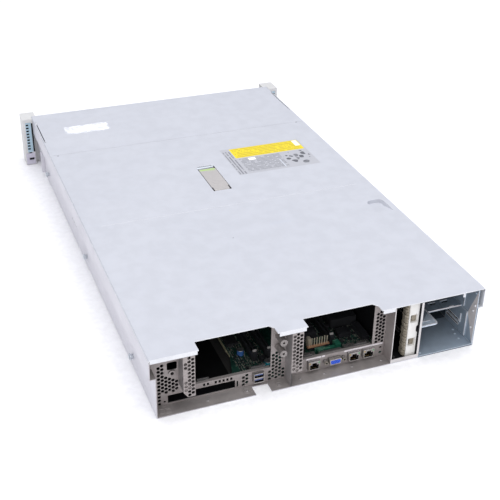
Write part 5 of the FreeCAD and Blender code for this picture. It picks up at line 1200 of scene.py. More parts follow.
@dataclass
class LatchTrim:
    """What the flush latch shows besides its lever: the pull lip in front and the lever's rounded rear end."""

    half: float = 14.0
    recess_front: float = -75.0
    top: float = 86.9
    pivot: Flat = (5.7, 80.8)

    def pull_lip(self) -> None:
        """The pale lip that the fingertip slides over."""
        lip = Shape()
        outline = rounded([(-self.half, self.recess_front + 0.5), (self.half, self.recess_front + 0.5),
            (self.half, self.recess_front + 6.8), (-self.half, self.recess_front + 4.6)], 3.5)
        lip.prism(outline, Axis.Z, 83.5, 86.2, LATCH_PAN, 0.5)
        lip.build("latch_pull_lip", "access_panel", "latch_housing")

    def rear_end(self) -> None:
        """The lever's rear end, rounded about its pivot, with a shallow ring pressed into the plate ahead of it."""
        lever = Shape()
        angles = [math.radians(57 - step * 4.6) for step in range(6)]
        outer = [(self.pivot[0] + 7.3 * math.cos(a), self.pivot[1] + 7.3 * math.sin(a)) for a in angles]
        inner = [(self.pivot[0] + 5.2 * math.cos(a), self.pivot[1] + 5.2 * math.sin(a)) for a in reversed(angles)]
        lever.prism([*outer, *inner], Axis.X, -11.6, 11.6, LATCH, 0.15)
        ring_profile = [(5.2, -0.1), (5.5, 0.12), (6.4, 0.12), (6.7, -0.1)]
        lever.lathe([*ring_profile, (5.2, -0.1)], (0.0, -15.0, self.top), Axis.Z, LATCH, 40)
        for side in (-1, 1):
            lever.prism(rectangle(side * 9.5 - 2.6, side * 9.5 + 2.6, 2.4, 3.6, 0.5), Axis.Z, self.top - 0.1,
                self.top + 0.08, LATCH, 0.05)
        lever.build("latch_lever_end", "hood_latch", "hood_latch")

    def build(self) -> None:
        """Make both pieces."""
        self.pull_lip()
        self.rear_end()


@dataclass
class HoodTrim:
    """The small dimples along the access panel's side lips."""

    half: float = 224.0
    level: float = 85.7

    def build(self) -> None:
        """Make the panel's side dimples."""
        lip_spots = [((side * self.half, y, self.level), LEFT_WARD if side > 0 else RIGHT_WARD) for side in (-1, 1)
            for y in (-150.0, -20.0, 110.0, 240.0)]
        Repeater.place("hood_lip_dimples", rivet(1.1, 0.18, HOOD_EDGE_HIGHLIGHT), lip_spots, "access_panel", "access_panel")


# ------------------------------------------------------------------ rear


@dataclass
class RearFasteners:
    """Rivets, pressed rings and dimples of the rear sheets."""

    lip: float = 1.2
    wall: float = 368.0

    def build(self) -> None:
        """Set them on the floor's lip, the side walls and the wall between the openings."""
        row = [(98.6, 377.0), (56.6, 379.0), (27.7, 377.5), (-5.1, 378.0), (-44.3, 377.0), (-85.7, 378.0),
            (150.0, 378.0)]
        spots = [((x, y, self.lip), UP_WARD) for x, y in row]
        Repeater.place("lip_rivets", rivet(2.0, 0.9, PALE_ZINC), spots, "chassis", "chassis_tray", size_spread=0.06)
        rings = Shape()
        for x, y, radius in ((207.7, 378.2, 3.6), (199.8, 380.0, 3.2), (202.0, 372.6, 1.6), (98.6, 377.0, 3.6),
            (56.6, 379.0, 3.4)):
            profile = [(radius, -0.1), (radius + 0.35, 0.3), (radius + 0.8, 0.3), (radius + 1.1, -0.1), (radius, -0.1)]
            rings.lathe(profile, (x, y, self.lip), Axis.Z, LIP_ZINC, 32)
        rings.build("lip_rings", "chassis", "chassis_tray")
        sides = [((side * 217.0, y, z), LEFT_WARD if side > 0 else RIGHT_WARD) for side in (-1, 1) for y,
            z in ((340, 14), (340, 46), (210, 50), (120, 50), (-20, 50), (-150, 14), (-300, 50))]
        Repeater.place("side_rivets", rivet(1.7, 0.45, SIDE_LIT), sides, "chassis", "chassis_tray")
        centre = [((x, self.wall, z), REAR_WARD) for x, z in ((24.5, 8.0), (-78.0, 14.0), (205.5, 74.0), (105.0, 19.0))]
        Repeater.place("wall_rivets", rivet(1.3, 0.6, PALE_ZINC), centre, "chassis", "rear_io_panel")
        studs = [((side * 222.3, y, 19.0), LEFT_WARD if side > 0 else RIGHT_WARD) for side in (-1, 1)
            for y in (284.0, 25.0, -268.0)]
        Repeater.place("stud_heads", rivet(3.2, 0.7, STEEL), studs, "chassis", "rail_studs")
        # Pale pads in the painted highlight fill the side slots so that they read bright.
        pads = Shape()
        for side in (-1, 1):
            low, high = sorted((side * 216.1, side * 216.8))
            pads.box((low, -68.0, 33.0), (high, -36.0, 43.0), HOOD_EDGE_HIGHLIGHT)
        pads.build("side_slot_pads", "chassis", "chassis_tray")
        strips = Shape()
        for low, high in ((-4.6, 16.0), (-91.6, -37.0), (-9.8, -5.6)):
            strips.prism(rectangle(low, high, 19.4, 21.9, 0.3, 2), Axis.Y, self.wall - 0.05, self.wall + 0.12,
                PORT_STRIP, 0.03)
        strips.build("port_strips", "chassis", "rear_io_panel")


@dataclass
class Ports:
    """The sockets in the rear wall, with their liners, contacts, lamps and nuts."""

    rear: float = 373.0
    network: tuple[float, ...] = (6.3, -49.6, -70.0)
    video: float = -22.6
    video_level: float = 12.3
    usb: float = 81.2

    def network_sockets(self) -> None:
        """Tinned shells with a dark liner, eight gold contacts and two lamps each."""

        def pick(middle: Vector, normal: Vector) -> int:
            if middle.y > self.rear - 0.3 and normal.y > 0.5:
                return 0
            near = min(abs(middle.x - place) for place in self.network)
            return 1 if near < 6.2 and 7.0 < middle.z < 17.0 and middle.y > 358.5 else 0

        skin("network_sockets", (TIN, SHADE), pick, NICKEL, 0.2)
        contacts = [((place + (step - 3.5) * 1.02, 365.5, 7.8), UP_WARD) for place in self.network for step in range(8)]
        wire = Shape().box((-0.22, -5.5, 0.0), (0.22, 5.5, 0.5), GOLD, 0.06)
        Repeater.place("network_contacts", wire, contacts, "chassis", "network_sockets")
        lamps = Shape()
        for place in self.network:
            for side, finish in ((-6.2, LAMP_GREEN), (6.2, AMBER)):
                lamps.prism(rectangle(place + side - 1.1, place + side + 1.1, 15.6, 18.0, 0.3, 2), Axis.Y,
                    self.rear - 0.4, self.rear + 0.12, finish, 0.08)
            lamps.prism(rectangle(place - 7.8, place - 6.9, 6.4, 15.0), Axis.Y, self.rear - 0.2, self.rear + 0.1, BRASS,
                0.05)
            lamps.prism(rectangle(place + 6.9, place + 7.8, 6.4, 15.0), Axis.Y, self.rear - 0.2, self.rear + 0.1, BRASS,
                0.05)
        lamps.build("network_lamps", "chassis", "network_sockets")

    def video_connector(self) -> None:
        """A nickel D-shell round a blue insert with fifteen holes, and its two jack nuts."""
        skin("video_connector", (TIN,), edge=NICKEL, width=0.25)
        level, middle = self.video_level, self.video
        outer = [(-7.3, -4.1), (7.3, -4.1), (8.4, 4.1), (-8.4, 4.1)]
        inner = [(x * 0.86, z * 0.74) for x, z in outer]
        rim = rounded([(middle + x, level + z) for x, z in outer], 1.6)
        insert = rounded([(middle + x, level + z) for x, z in inner], 1.3)
        shell = Shape()
        shell.prism(rim, Axis.Y, self.rear - 0.1, self.rear + 1.1, NICKEL, 0.12, holes=[insert])
        shell.prism(insert, Axis.Y, self.rear - 0.1, self.rear + 0.8, BLUE_PORT, 0.1)
        for side in (-12.5, 12.5):
            shell.prism(ring(middle + side, level, 2.9, 6), Axis.Y, self.rear - 1.2, self.rear + 0.9, BRASS, 0.2,
                holes=[ring(middle + side, level, 1.5, 16)])
            shell.prism(ring(middle + side, level, 1.45, 16), Axis.Y, self.rear - 2.5, self.rear - 0.8, SHADE, 0.0)
        shell.build("video_frame", "chassis", "video_connector")
        holes = [((middle + (step - 2) * 2.3 + (1.1 if line == 1 else 0.0), self.rear + 0.8, level + (line - 1) * 1.95),
            REAR_WARD) for line in range(3) for step in range(5)]
        dot = Shape().prism(ring(0, 0, 0.5, 10), Axis.Z, -0.05, 0.03, SHADE, 0.0)
        Repeater.place("video_holes", dot, holes, "chassis", "video_connector")

    def usb_sockets(self) -> None:
        """A tinned double shell with blue tongues and spring fingers."""

        def pick(middle: Vector, normal: Vector) -> int:
            if middle.y > self.rear - 0.6 and normal.y > 0.5:
                return 0
            inside = abs(middle.x - self.usb) < 6.3 and 6.8 < middle.z < 19.6
            tongue = abs(middle.x - self.usb) < 5.6 and (9.4 < middle.z < 11.8 or 16.5 < middle.z < 18.9)
            return (2 if tongue else 1) if inside else 0

        skin("usb_sockets", (TIN, SHADE, BLUE_TONGUE), pick, NICKEL, 0.16)
        fingers = [((self.usb + x, self.rear - 0.4, 6.0 + z), REAR_WARD) for x in (-3.4, 3.4) for z in (0.5, 7.2, 13.9)]
        finger = Shape().box((-1.0, -0.25, -0.1), (1.0, 0.25, 0.5), NICKEL, 0.08)
        Repeater.place("usb_fingers", finger, fingers, "chassis", "usb_sockets")
        contacts = [((self.usb + (step - 1.5) * 2.3, self.rear - 5.0, level), UP_WARD) for step in range(4)
            for level in (9.55, 16.65)]
        pin = Shape().box((-0.45, -3.8, -0.12), (0.45, 3.8, 0.1), GOLD, 0.04)
        Repeater.place("usb_contacts", pin, contacts, "chassis", "usb_sockets")

    def build(self) -> None:
        """Make every socket."""
        self.network_sockets()
        self.video_connector()
        self.usb_sockets()


@dataclass
class SupplyBay:
    """Pressings, rivets and rims of the power supply bay, their bright outlines painted highlight."""

    right: float = -214.5
    floor: float = 2.5
    shelf: float = 44.0
    rear: float = 388.0

    def build(self) -> None:
        """Press and rivet the liner, the shelf, the tongue and the floor."""
        marks = Shape()
        outline = rounded([(-162.6, 346.0), (-135.6, 346.0), (-135.6, 382.2), (-162.6, 382.2)], 5.0)
        inner = rounded([(-161.0, 347.6), (-137.2, 347.6), (-137.2, 380.6), (-161.0, 380.6)], 3.8)
        marks.prism(outline, Axis.Z, self.shelf - 0.05, self.shelf + 0.6, SLATE_EDGE_HIGHLIGHT, 0.12, holes=[inner])
        marks.prism(rectangle(-156.0, -141.5, 372.2, 373.8, 0.7), Axis.Z, self.shelf - 0.05, self.shelf + 0.6,
            SLATE_EDGE_HIGHLIGHT, 0.2)
        marks.prism(rectangle(-203.0, -196.0, 352.6, 355.1), Axis.Z, self.shelf - 0.05, self.shelf + 0.5, SLATE_EDGE_HIGHLIGHT,
            0.12)
        for x in (-196.0, -178.0):
            marks.prism(rectangle(x - 5.5, x + 5.5, 337.5, 339.2, 0.8), Axis.Z, self.shelf - 0.05, self.shelf + 0.7,
                SLATE_EDGE_HIGHLIGHT, 0.25)
            # A strip of painted shadow behind each rib.
            marks.prism(rectangle(x - 4.5, x + 4.5, 340.2, 342.6, 1.0), Axis.Z, self.shelf - 0.05, self.shelf + 0.08,
                SHADE, 0.03)
        # Pressed slot frames in the painted highlight, with painted shade inside them.
        for level in (13.2, 19.2):
            frame_outer, frame_inner = rectangle(324.0, 355.6, level - 2.0, level + 2.0, 1.9), rectangle(325.2, 354.4,
                level - 1.1, level + 1.1, 1.0)
            marks.prism(frame_outer, Axis.X, self.right + 0.9, self.right + 1.6, SLATE_EDGE_HIGHLIGHT, 0.15, holes=[frame_inner])
            marks.prism(frame_inner, Axis.X, self.right + 0.9, self.right + 1.05, SHADE, 0.0)
        marks.prism(rectangle(357.5, 358.9, 18.0, 32.0, 0.5), Axis.X, self.right + 0.9, self.right + 2.2, SLATE_EDGE_HIGHLIGHT,
            0.15)
        marks.prism(rectangle(369.2, 370.4, 4.0, 40.5, 0.4), Axis.X, self.right, self.right + 1.5, SLATE_EDGE_HIGHLIGHT, 0.15)
        marks.prism(rectangle(360.0, 361.0, 45.5, 70.0, 0.4), Axis.X, self.right, self.right + 0.9, SLATE_EDGE_HIGHLIGHT, 0.15)
        # A painted highlight line along the top of the bay's wall.
        marks.prism(rectangle(250.0, 384.0, 78.0, 79.2, 0.4), Axis.X, self.right, self.right + 0.7, SLATE_HIGHLIGHT, 0.15)
        marks.build("bay_pressings", "chassis", "psu_cage")
        wall = [((self.right, y, z), LEFT_WARD) for y,
            z in ((380.5, 50.3), (381.0, 24.7), (383.5, 60.0), (340.0, 66.0), (300.0, 66.0), (260.0, 66.0),
            (250.0, 30.0))]
        Repeater.place("bay_rivets", rivet(1.7, 0.9, SLATE_EDGE_HIGHLIGHT), wall, "chassis", "psu_cage")
        floor = [((x, y, self.floor), UP_WARD) for x,
            y in ((-206.0, 361.0), (-208.5, 352.0), (-205.0, 372.0), (-140.0, 383.0), (-200.0, 300.0),
            (-150.0, 300.0))]
        Repeater.place("bay_dimples", rivet(1.6, 0.5, SLATE_HIGHLIGHT), floor, "chassis", "psu_cage")
        shelf = [((x, y, self.shelf), UP_WARD) for x in (-206.0, -186.0, -166.0, -146.0) for y in (322.0, 280.0)]
        Repeater.place("shelf_dimples", rivet(1.5, 0.5, SLATE_HIGHLIGHT), shelf, "chassis", "psu_cage")


@dataclass
class NarrowBay:
    """The gasket, the inner rails and the blank's windows in the narrow bay."""

    blank_left: float = -117.2
    blank_right: float = -130.9
    rear: float = 388.0

    def gasket(self) -> None:
        """A fabric-wrapped spring gasket, crimped into short lobes from bottom to top."""
        lobes = Shape()
        for step in range(19):
            low = 4.5 + step * 4.2
            shift = 0.5 * math.sin(step * 2.4)
            outline = rounded([(self.blank_left + 0.2, 371.0), (self.blank_left + 3.4 + shift, 372.0),
                (self.blank_left + 3.9 + shift, 380.0), (self.blank_left + 2.2, 383.2),
                (self.blank_left + 0.2, 383.2)], 1.6)
            lobes.prism(outline, Axis.Z, low, low + 3.5, GASKET, 0.9)
        lobes.build("bay_gasket", "chassis", "bay_blank")

    def blank(self) -> None:
        """Contacts in the blank's two windows, and the seam down its face."""
        middle = (self.blank_left + self.blank_right) / 2
        inserts = Shape()
        for low, high in ((18.9, 31.5), (54.9, 67.5)):
            inserts.prism(rectangle(self.blank_right + 2.1, self.blank_left - 2.1, low, high, 0.4), Axis.Y, 379.6,
                380.6, GASKET, 0.2)
            for step in range(3):
                level = low + 3.0 + step * 3.2
                inserts.prism(rectangle(middle + 1.5, middle + 4.2, level, level + 1.7, 0.4), Axis.Y, 380.5, 381.0,
                    SHADE, 0.1)
            inserts.prism(rectangle(self.blank_right + 2.2, self.blank_left - 2.2, high - 1.2, high), Axis.Y, 380.6,
                383.4, CREAM, 0.2)
        inserts.prism(rectangle(self.blank_left - 1.1, self.blank_left - 0.6, 6.0, 82.0), Axis.Y, 384.0, 384.25, CREAM,
            0.08)
        inserts.build("blank_windows", "chassis", "bay_blank")

    def rails(self) -> None:
        """Guide rails in the bay's depth, darkened with painted shade, and the screw in its floor."""
        rails = Shape()
        for level in (30.0, 34.5, 62.0, 66.5):
            rails.prism(rectangle(230.0, 366.0, level, level + 1.2), Axis.X, self.blank_left + 0.6,
                self.blank_left + 2.4, SHADED_ZINC, 0.2)
        rails.build("bay_rails", "chassis", "bay_wall")
        Repeater.place("bay_floor_screws", screw(2.0, 1.0, SHADED_ZINC),
            [((-103.0, 379.0, 2.5), UP_WARD), ((-103.0, 300.0, 2.5), UP_WARD)], "chassis", "bay_wall")

    def build(self) -> None:
        """Make the gasket, windows and rails."""
        self.gasket()
        self.blank()
        self.rails()


# ------------------------------------------------------------------ board


Keep = tuple[float, float, float, float]


@dataclass
class BoardParts:
    """The small parts soldered to the main board where the riser openings show it."""

    top: float = 6.0
    left_field: Keep = (46.0, 106.0, 205.0, 365.0)
    right_field: Keep = (-92.0, 26.0, 205.0, 365.0)
    keep_clear: tuple[Keep, ...] = (
        (65.6, 74.4, 236.0, 328.0),
        (45.6, 54.4, 236.0, 328.0),
        (-42.4, -33.6, 236.0, 328.0),
        (-34.0, 2.0, 326.0, 338.0),
        (71.0, 92.0, 351.0, 368.0),
        (76.0, 88.0, 300.0, 312.0),
        (52.0, 63.0, 336.0, 348.0),
        (20.0, 36.0, 323.0, 333.0),
        (96.0, 107.0, 205.0, 352.0),
        (-82.0, 16.0, 346.0, 368.0),
        (-50.0, -8.0, 322.0, 346.0),
    )

    def scatter(self, field: Keep, pitch: Flat, share: float, seed: int) -> list[Spot]:
        """Places on a jittered grid, clear of the big parts.

        Args:
            field: The area's low and high X, low and high Y.
            pitch: The grid's pitch on each axis.
            share: The share of the places that is taken.
            seed: The seed.

        Returns:
            The places and turns.
        """
        dice = random.Random(seed)
        spots: list[Spot] = []
        x = field[0] + pitch[0] / 2
        while x < field[1]:
            y = field[2] + pitch[1] / 2
            while y < field[3]:
                px, py = x + dice.uniform(-0.2, 0.2) * pitch[0], y + dice.uniform(-0.2, 0.2) * pitch[1]
                clear = not any(low_x < px < high_x and low_y < py < high_y for low_x, high_x, low_y,
                    high_y in self.keep_clear)
                if clear and dice.random() < share:
                    spots.append(((px, py, self.top), (0.0, 0.0, dice.choice((0.0, math.pi / 2)))))
                y += pitch[1]
            x += pitch[0]
        return spots

    def chips(self) -> None:
        """Packages, capacitors, resistors and coils."""
        kinds = (
            ("board_packages", (5.6, 4.4, 1.3), CHIP, (11.0, 12.0), 0.4),
            ("board_coils", (4.6, 4.6, 3.0), DARK_PAINT, (17.0, 19.0), 0.35),
            ("board_small_packages", (2.8, 1.8, 1.1), CHIP, (6.1, 5.3), 0.55),
            ("board_ceramics", (1.7, 0.95, 0.95), CERAMIC, (3.1, 2.6), 0.6),
            ("board_resistors", (1.6, 0.85, 0.6), CHIP, (3.3, 3.9), 0.35),
            ("board_pads", (1.6, 0.9, 0.3), TIN, (2.9, 2.5), 0.5),
        )
        for index, (name, (length, width, tall), finish, pitch, share) in enumerate(kinds):
            spots: list[Spot] = []
            for number, field in enumerate((self.left_field, self.right_field)):
                spots += self.scatter(field, pitch, share, 11 + index * 7 + number)
            part = Shape().box((-length / 2, -width / 2, 0.0), (length / 2, width / 2, tall), finish, 0.12)
            Repeater.place(name, part, spots, "chassis", "system_board", size_spread=0.12, seed=index + 2)

    def cans(self) -> None:
        """Electrolytic cans: crimped sleeves with a bright top."""
        cans = Shape()
        for x, y, radius, tall, sleeve in ((82.5, 310.0, 4.6, 8.0, BLUE_SLEEVE), (57.4, 342.5, 5.0, 7.0, TEAL),
            (24.0, 328.0, 3.2, 9.0, TEAL), (32.0, 328.0, 3.2, 9.0, TEAL), (64.5, 346.0, 2.6, 6.0, TEAL)):
            sleeve_profile = [(radius, 0.0), (radius, 1.2), (radius - 0.35, 1.6), (radius, 2.0), (radius, tall - 0.6)]
            cans.lathe(sleeve_profile, (x, y, self.top), Axis.Z, sleeve, 24)
            cap = [(radius, tall - 0.6), (radius - 0.25, tall - 0.1), (radius - 0.7, tall), (0.0, tall)]
            cans.lathe(cap, (x, y, self.top), Axis.Z, MILL, 24)
        cans.build("electrolytic_cans", "chassis", "board_capacitors", ["board_capacitors"])

    def power_header(self) -> None:
        """The tall header behind the right opening: a copper-brown bar with a comb of pale pins."""
        header = Shape()
        header.prism([(-1.5, 330.6), (-33.0, 329.4), (-33.0, 333.4), (-1.5, 334.6)], Axis.Z, 10.0, 12.0, COPPER_BAR,
            0.3)
        header.box((-31.0, 327.0, self.top), (-3.0, 334.0, 10.2), CHIP, 0.4)
        header.build("power_header_bar", "chassis", "power_connector", ["power_connector"])
        pins = [((-4.5 - 3.6 * step, 332.0, 13.0), UP_WARD) for step in range(8)]
        pin = Shape().box((-0.6, -0.5, -2.0), (0.6, 0.5, 10.5), PALE_PIN, 0.15)
        Repeater.place("power_header_pins", pin, pins, "chassis", "power_connector", size_spread=0.08, seed=5)
        block = Shape()
        for x0, x1, y0, y1, tall in ((-36.0, -12.0, 340.5, 345.0, 7.0), (-45.0, -37.0, 333.0, 343.0, 9.0),
            (-24.0, -10.0, 336.0, 340.0, 5.0)):
            block.box((x0, y0, self.top), (x1, y1, self.top + tall), MODULE_GREEN, 0.5)
        block.box((-9.0, 322.0, self.top), (-4.0, 329.0, self.top + 15.0), PALE_PIN, 0.7)
        block.build("header_boards", "chassis", "power_connector")

    def slots(self) -> None:
        """Riser slots: dark shells with a comb of contacts on both sides of the groove."""
        skin("riser_slots", (DARK,), edge=DARK, width=0.3)
        spots = [((middle + side, 240.0 + 1.6 * step, self.top + 9.0), UP_WARD) for middle in (70.0, 50.0, -38.0)
            for side in (-1.3, 1.3) for step in range(53)]
        contact = Shape().box((-0.16, -0.3, -5.0), (0.16, 0.3, 1.6), GOLD, 0.0)
        Repeater.place("riser_slot_contacts", contact, spots, "chassis", "riser_slots")
        latches = Shape()
        for middle in (70.0, 50.0, -38.0):
            latches.box((middle - 3.4, 325.5, self.top), (middle + 3.4, 330.5, self.top + 14.0), DARK, 0.6)
            latches.box((middle - 2.6, 326.8, self.top + 13.0), (middle + 2.6, 328.6, self.top + 16.5), LATCH_GREY, 0.5)
        latches.build("riser_slot_latches", "chassis", "riser_slots")

    def rim(self) -> None:
        """The pale rim along the board's left edge, its cut edge with a painted highlight on it, and its screws."""
        rim = Shape()
        rim.box((96.0, 181.0, 4.3), (97.2, 309.0, 6.3), BOARD_RIM_HIGHLIGHT, 0.2)
        rim.box((96.6, 205.0, 6.0), (98.8, 300.0, 8.4), BOARD_RIM_HIGHLIGHT, 0.3)
        rim.build("board_rim", "chassis", "system_board")
        heads = [((x, y, self.top), UP_WARD) for x,
            y in ((80.0, 343.0), (-80.0, 343.0), (80.0, 178.0), (-80.0, 178.0), (0.0, 318.0), (90.0, 226.0))]
        Repeater.place("board_screws", screw(3.0, 1.8, NICKEL), heads, "chassis", "system_board")

    def cards(self) -> None:
        """Dark low modules and heat spreaders, as plain blocks, that fill the depth of the right opening."""
        cards = Shape()
        for x0, x1, y0, y1, tall, finish in (
            (-88.0, -50.0, 262.0, 300.0, 15.0, CHIP),
            (-24.0, 14.0, 262.0, 300.0, 13.0, CHIP),
            (-70.0, -52.0, 308.0, 322.0, 7.0, DARK),
            (-24.0, 6.0, 300.0, 312.0, 12.0, DARK),
            (-88.0, -78.0, 306.0, 340.0, 9.0, DARK),
            (6.0, 16.0, 335.0, 345.0, 6.0, CHIP),
            (78.0, 94.0, 262.0, 290.0, 4.0, CHIP),
            (56.0, 64.0, 328.0, 336.0, 6.0, CHIP),
        ):
            cards.box((x0, y0, self.top), (x1, y1, self.top + tall), finish, 0.5)
        cards.build("board_modules", "chassis", "system_board")

    def build(self) -> None:
        """Fill the board."""
        self.chips()
        self.cans()
        self.power_header()
        self.slots()
        self.rim()
        self.cards()


# ------------------------------------------------------------------ ears and front


@dataclass
class EarTrim:
    """The steel strip in each ear's rear face, a black plate of painted shade standing in for the gap beside it, and
    the lever stop under it.
    """

    rear: float = -356.0

    def half(self, side: int, name: str) -> None:
        """Trim one ear.

        Args:
            side: 1 for the left ear, -1 for the right one.
            name: Its name.
        """

        def span(near: float, far: float) -> Flat:
            return (near, far) if side > 0 else (-far, -near)

        trim = Shape()
        low, high = span(227.2, 240.6)
        holes = [rectangle(*span(231.65, 236.15), 29.5 + 5.6 * step, 32.5 + 5.6 * step) for step in range(9)]
        trim.prism(rectangle(low, high, 24.5, 80.5, 0.6, 3), Axis.Y, self.rear - 0.1, self.rear + 0.4, EAR_STEEL, 0.1,
            holes=holes)
        # A black plate of painted shade seen through the strip's holes.
        low, high = span(231.0, 236.8)
        trim.box((low, self.rear - 0.6, 29.0), (high, self.rear - 0.02, 78.0), SHADE, 0.0)
        # A black plate of painted shade for the gap beside the strip.
        low, high = span(224.3, 226.9)
        trim.box((low, self.rear - 0.3, 24.5), (high, self.rear + 0.15, 79.0), SHADE, 0.05)
        low, high = span(225.2, 240.8)
        trim.prism(rectangle(low, high, 1.6, 22.6, 1.0), Axis.Y, self.rear - 0.2, self.rear + 0.9, LAVENDER, 0.4)
        # A black patch of painted shade for the slot in the lever stop.
        low, high = span(227.0, 235.5)
        trim.prism(rectangle(low, high, 10.0, 14.0, 0.8), Axis.Y, self.rear + 0.8, self.rear + 1.0, SHADE, 0.05)
        low, high = span(236.8, 241.25)
        trim.prism(rectangle(low, high, 23.2, 86.5, 0.8), Axis.Y, self.rear - 0.2, self.rear + 0.7, EAR_CREAM, 0.3)
        low, high = span(224.5, 241.2)
        trim.prism(rectangle(low, high, 80.8, 86.9, 0.9), Axis.Y, self.rear - 0.2, self.rear + 1.0, EAR_CREAM, 0.4)
        trim.build(f"ear_trim_{name}", "chassis", f"ear_{name}")

    def build(self) -> None:
        """Trim both ears."""
        for side, name in ((1, "left"), (-1, "right")):
            self.half(side, name)
        heads = [((side * 232.55, -388.0, 6.0), FRONT_WARD) for side in (-1, 1)]
        Repeater.place("ear_screws", screw(2.2, 0.0, STEEL), [((x, -387.9, z), turn) for (x, _, z), turn in heads],
            "chassis", "ear_left")


@dataclass
class DriveFronts:
    """Lamps and touch marks on the drive carriers, and the trim of the middle and right boxes."""

    slots: int = 4
    lamp_pitch: float = 3.6
    lamp: tuple[Flat, ...] = ((0.8, -0.2), (0.8, 0.15), (0.5, 0.3), (0.0, 0.34))

    def carriers(self) -> None:
        """Give each carrier its lamps and touch mark, soften it and its lever, and give each drive its label plates."""
        for slot in range(1, self.slots + 1):
            low, high = (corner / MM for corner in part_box(f"drive_carrier_{slot}"))
            middle = (low.x + high.x) / 2
            trim = Shape()
            for step, finish in enumerate((LAMP_GREEN, AMBER, LAMP_GREEN)):
                trim.lathe(self.lamp, (middle + self.lamp_pitch * (step - 1), low.y, low.z + 3.4), Axis.Y, finish, 16,
                    flip=True)
            trim.prism(rectangle(middle - 5.8, middle + 5.8, high.z - 2.0, high.z - 1.0, 0.3), Axis.Y, low.y - 0.1,
                low.y + 0.3, RED_MARK, 0.08)
            trim.build(f"carrier_trim_{slot}", f"drive_{slot}", f"drive_carrier_{slot}")
            skin(f"drive_carrier_{slot}", (DARK,), width=0.35)
            skin(f"carrier_lever_{slot}", (LATCH_GREY,), width=0.35)
            low, high = (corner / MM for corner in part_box(f"disk_drive_{slot}"))
            drive = Shape()
            drive.box(tuple(low), tuple(high), MILL, 0.5)
            for x, grow in ((low.x, -1), (high.x, 1)):
                near, far = sorted((x, x + grow * 0.06))
                drive.box((near, low.y + 14.0, low.z + 8.0), (far, high.y - 18.0, high.z - 8.0), WHITE, 0.02)
            drive.build(f"disk_drive_body_{slot}", f"drive_{slot}", f"disk_drive_{slot}", [f"disk_drive_{slot}"])

    def boxes(self) -> None:
        """Soften the blanks and the media module, and give the module its button and lamps."""
        for node, finish in (("drive_blanks", DARK), ("box_blank", DARK_PAINT), ("media_module", DARK)):
            skin(node, (finish,), width=0.35)
        low, high = (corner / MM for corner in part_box("media_module"))
        trim = Shape()
        trim.prism(rectangle(low.x + 8.0, low.x + 16.0, high.z - 12.5, high.z - 9.5, 1.2), Axis.Y, low.y - 0.05,
            low.y + 0.5, LATCH_GREY, 0.2)
        trim.lathe([(0.8, -0.2), (0.8, 0.12), (0.0, 0.25)], (low.x + 22.0, low.y + 0.4, high.z - 11.0), Axis.Y,
            LAMP_GREEN, 16, flip=True)
        trim.prism(rectangle(high.x - 60.0, high.x - 44.0, low.z + 9.5, low.z + 16.5, 0.8), Axis.Y, low.y - 0.05,
            low.y + 0.15, LATCH_GREY, 0.08)
        trim.build("media_trim", "chassis", "media_module")

    def button(self) -> None:
        """The power button with its lit ring."""
        skin("power_button", (LATCH_GREY,), width=0.3)
        low, high = (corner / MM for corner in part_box("power_button"))
        middle, level = (low.x + high.x) / 2, (low.z + high.z) / 2
        radius = (high.x - low.x) / 2
        trim = Shape()
        trim.lathe([(radius - 1.1, 0.02), (radius - 0.9, 0.12), (radius - 0.5, 0.12), (radius - 0.3, 0.02),
            (radius - 1.1, 0.02)], (middle, low.y, level), Axis.Y, LAMP_GREEN, 32, flip=True)
        trim.build("power_button_ring", "power_button", "power_button")

    def build(self) -> None:
        """Trim the whole front."""
        self.carriers()
        self.boxes()
        self.button()


# ------------------------------------------------------------------ studio


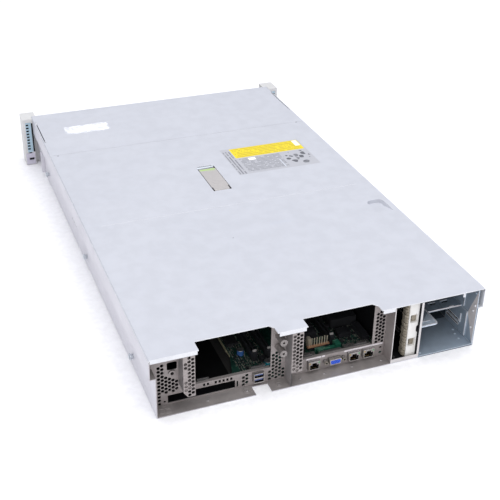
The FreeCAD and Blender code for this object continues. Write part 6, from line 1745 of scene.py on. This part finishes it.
@dataclass
class Studio:
    """A white table top, soft boxes and the camera."""

    eye: Point = (438.07, 1240.05, 750.03)
    target: Point = (-0.93, 126.83, 43.5)
    roll: float = 0.93
    lens: float = 69.06

    def camera(self) -> None:
        """Set the camera behind the server, to its left and above."""
        data = bpy.data.cameras.new("View")
        data.lens = self.lens
        data.sensor_width = 36.0
        camera = bpy.data.objects.new("View", data)
        line = Vector(self.target) - Vector(self.eye)
        turn = line.to_track_quat("-Z", "Y") @ Quaternion((0.0, 0.0, 1.0), math.radians(self.roll))
        camera.matrix_world = Matrix.Translation(Vector(self.eye) * MM) @ turn.to_matrix().to_4x4()
        bpy.context.scene.collection.objects.link(camera)
        bpy.context.scene.camera = camera

    def floor(self) -> None:
        """Lay the pale table top under the server."""
        mesh = bpy.data.meshes.new("Floor")
        far = 30.0
        mesh.from_pydata([(-far, -far, -0.0002), (far, -far, -0.0002), (far, far, -0.0002), (-far, far, -0.0002)], [],
            [(0, 1, 2, 3)])
        mesh.materials.append(Finish("Floor_White", (0.97, 0.97, 0.985), (0.96, 0.96, 0.98), 0.7,
            grain_depth=0.0001).make())
        floor = bpy.data.objects.new("Floor", mesh)
        bpy.context.scene.collection.objects.link(floor)

    def light(self, name: str, place: Point, size: float, power: float, tint: Colour = (1.0, 1.0, 1.0),
        aim: Point | None = None) -> None:
        """Hang a square soft box.

        Args:
            name: The light's name.
            place: Where it hangs, in millimetres.
            size: The side of the square, in metres.
            power: Its power in watts.
            tint: Its colour.
            aim: What it points at, or None for the server's middle.
        """
        data = bpy.data.lights.new(name, "AREA")
        data.shape = "SQUARE"
        data.size = size
        data.energy = power
        data.color = tint
        lamp = bpy.data.objects.new(name, data)
        line = Vector(aim or self.target) - Vector(place)
        lamp.matrix_world = Matrix.Translation(Vector(place) * MM) @ line.to_track_quat("-Z", "Y").to_matrix().to_4x4()
        bpy.context.scene.collection.objects.link(lamp)

    def build(self) -> None:
        """Set the camera, the table top, the lights and the soft white surroundings."""
        self.camera()
        self.floor()
        self.light("Overhead", (-300, 300, 2600), 3.2, 65.0)
        self.light("Rear_Left", (1300, 2300, 1300), 2.4, 22.0, (1.0, 0.985, 0.965))
        self.light("Window_Strip", (-302, -2570, 1082), 0.22, 2.4, aim=(0, -300, 87))
        world = bpy.data.worlds.new("Surroundings")
        world.use_nodes = True
        ground = world.node_tree.nodes["Background"]
        ground.inputs[0].default_value = (0.93, 0.94, 1.0, 1.0)
        ground.inputs[1].default_value = 0.66
        bpy.context.scene.world = world
        bpy.context.scene.view_settings.view_transform = "Standard"
        LOG.info("studio ready")


# ------------------------------------------------------------------ building


def dress_nodes() -> None:
    """Give every CAD node its finish."""
    for node, finish in NODE_FINISH.items():
        material = finish.make()
        for place in frame["nodes"][node].material_slots:
            place.material = material


ASSEMBLIES = (Sheets, LatchTrim, HoodTrim, RearFasteners, Ports, SupplyBay, NarrowBay, BoardParts, EarTrim, DriveFronts)


def main() -> None:
    """Build the studio and every sub-assembly in order."""
    logging.basicConfig(level=logging.INFO)
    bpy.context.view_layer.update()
    Studio().build()
    dress_nodes()
    for assembly in ASSEMBLIES:
        assembly().build()
        LOG.info("%s finished", assembly.__name__)


if __name__ == "__main__":
    main()
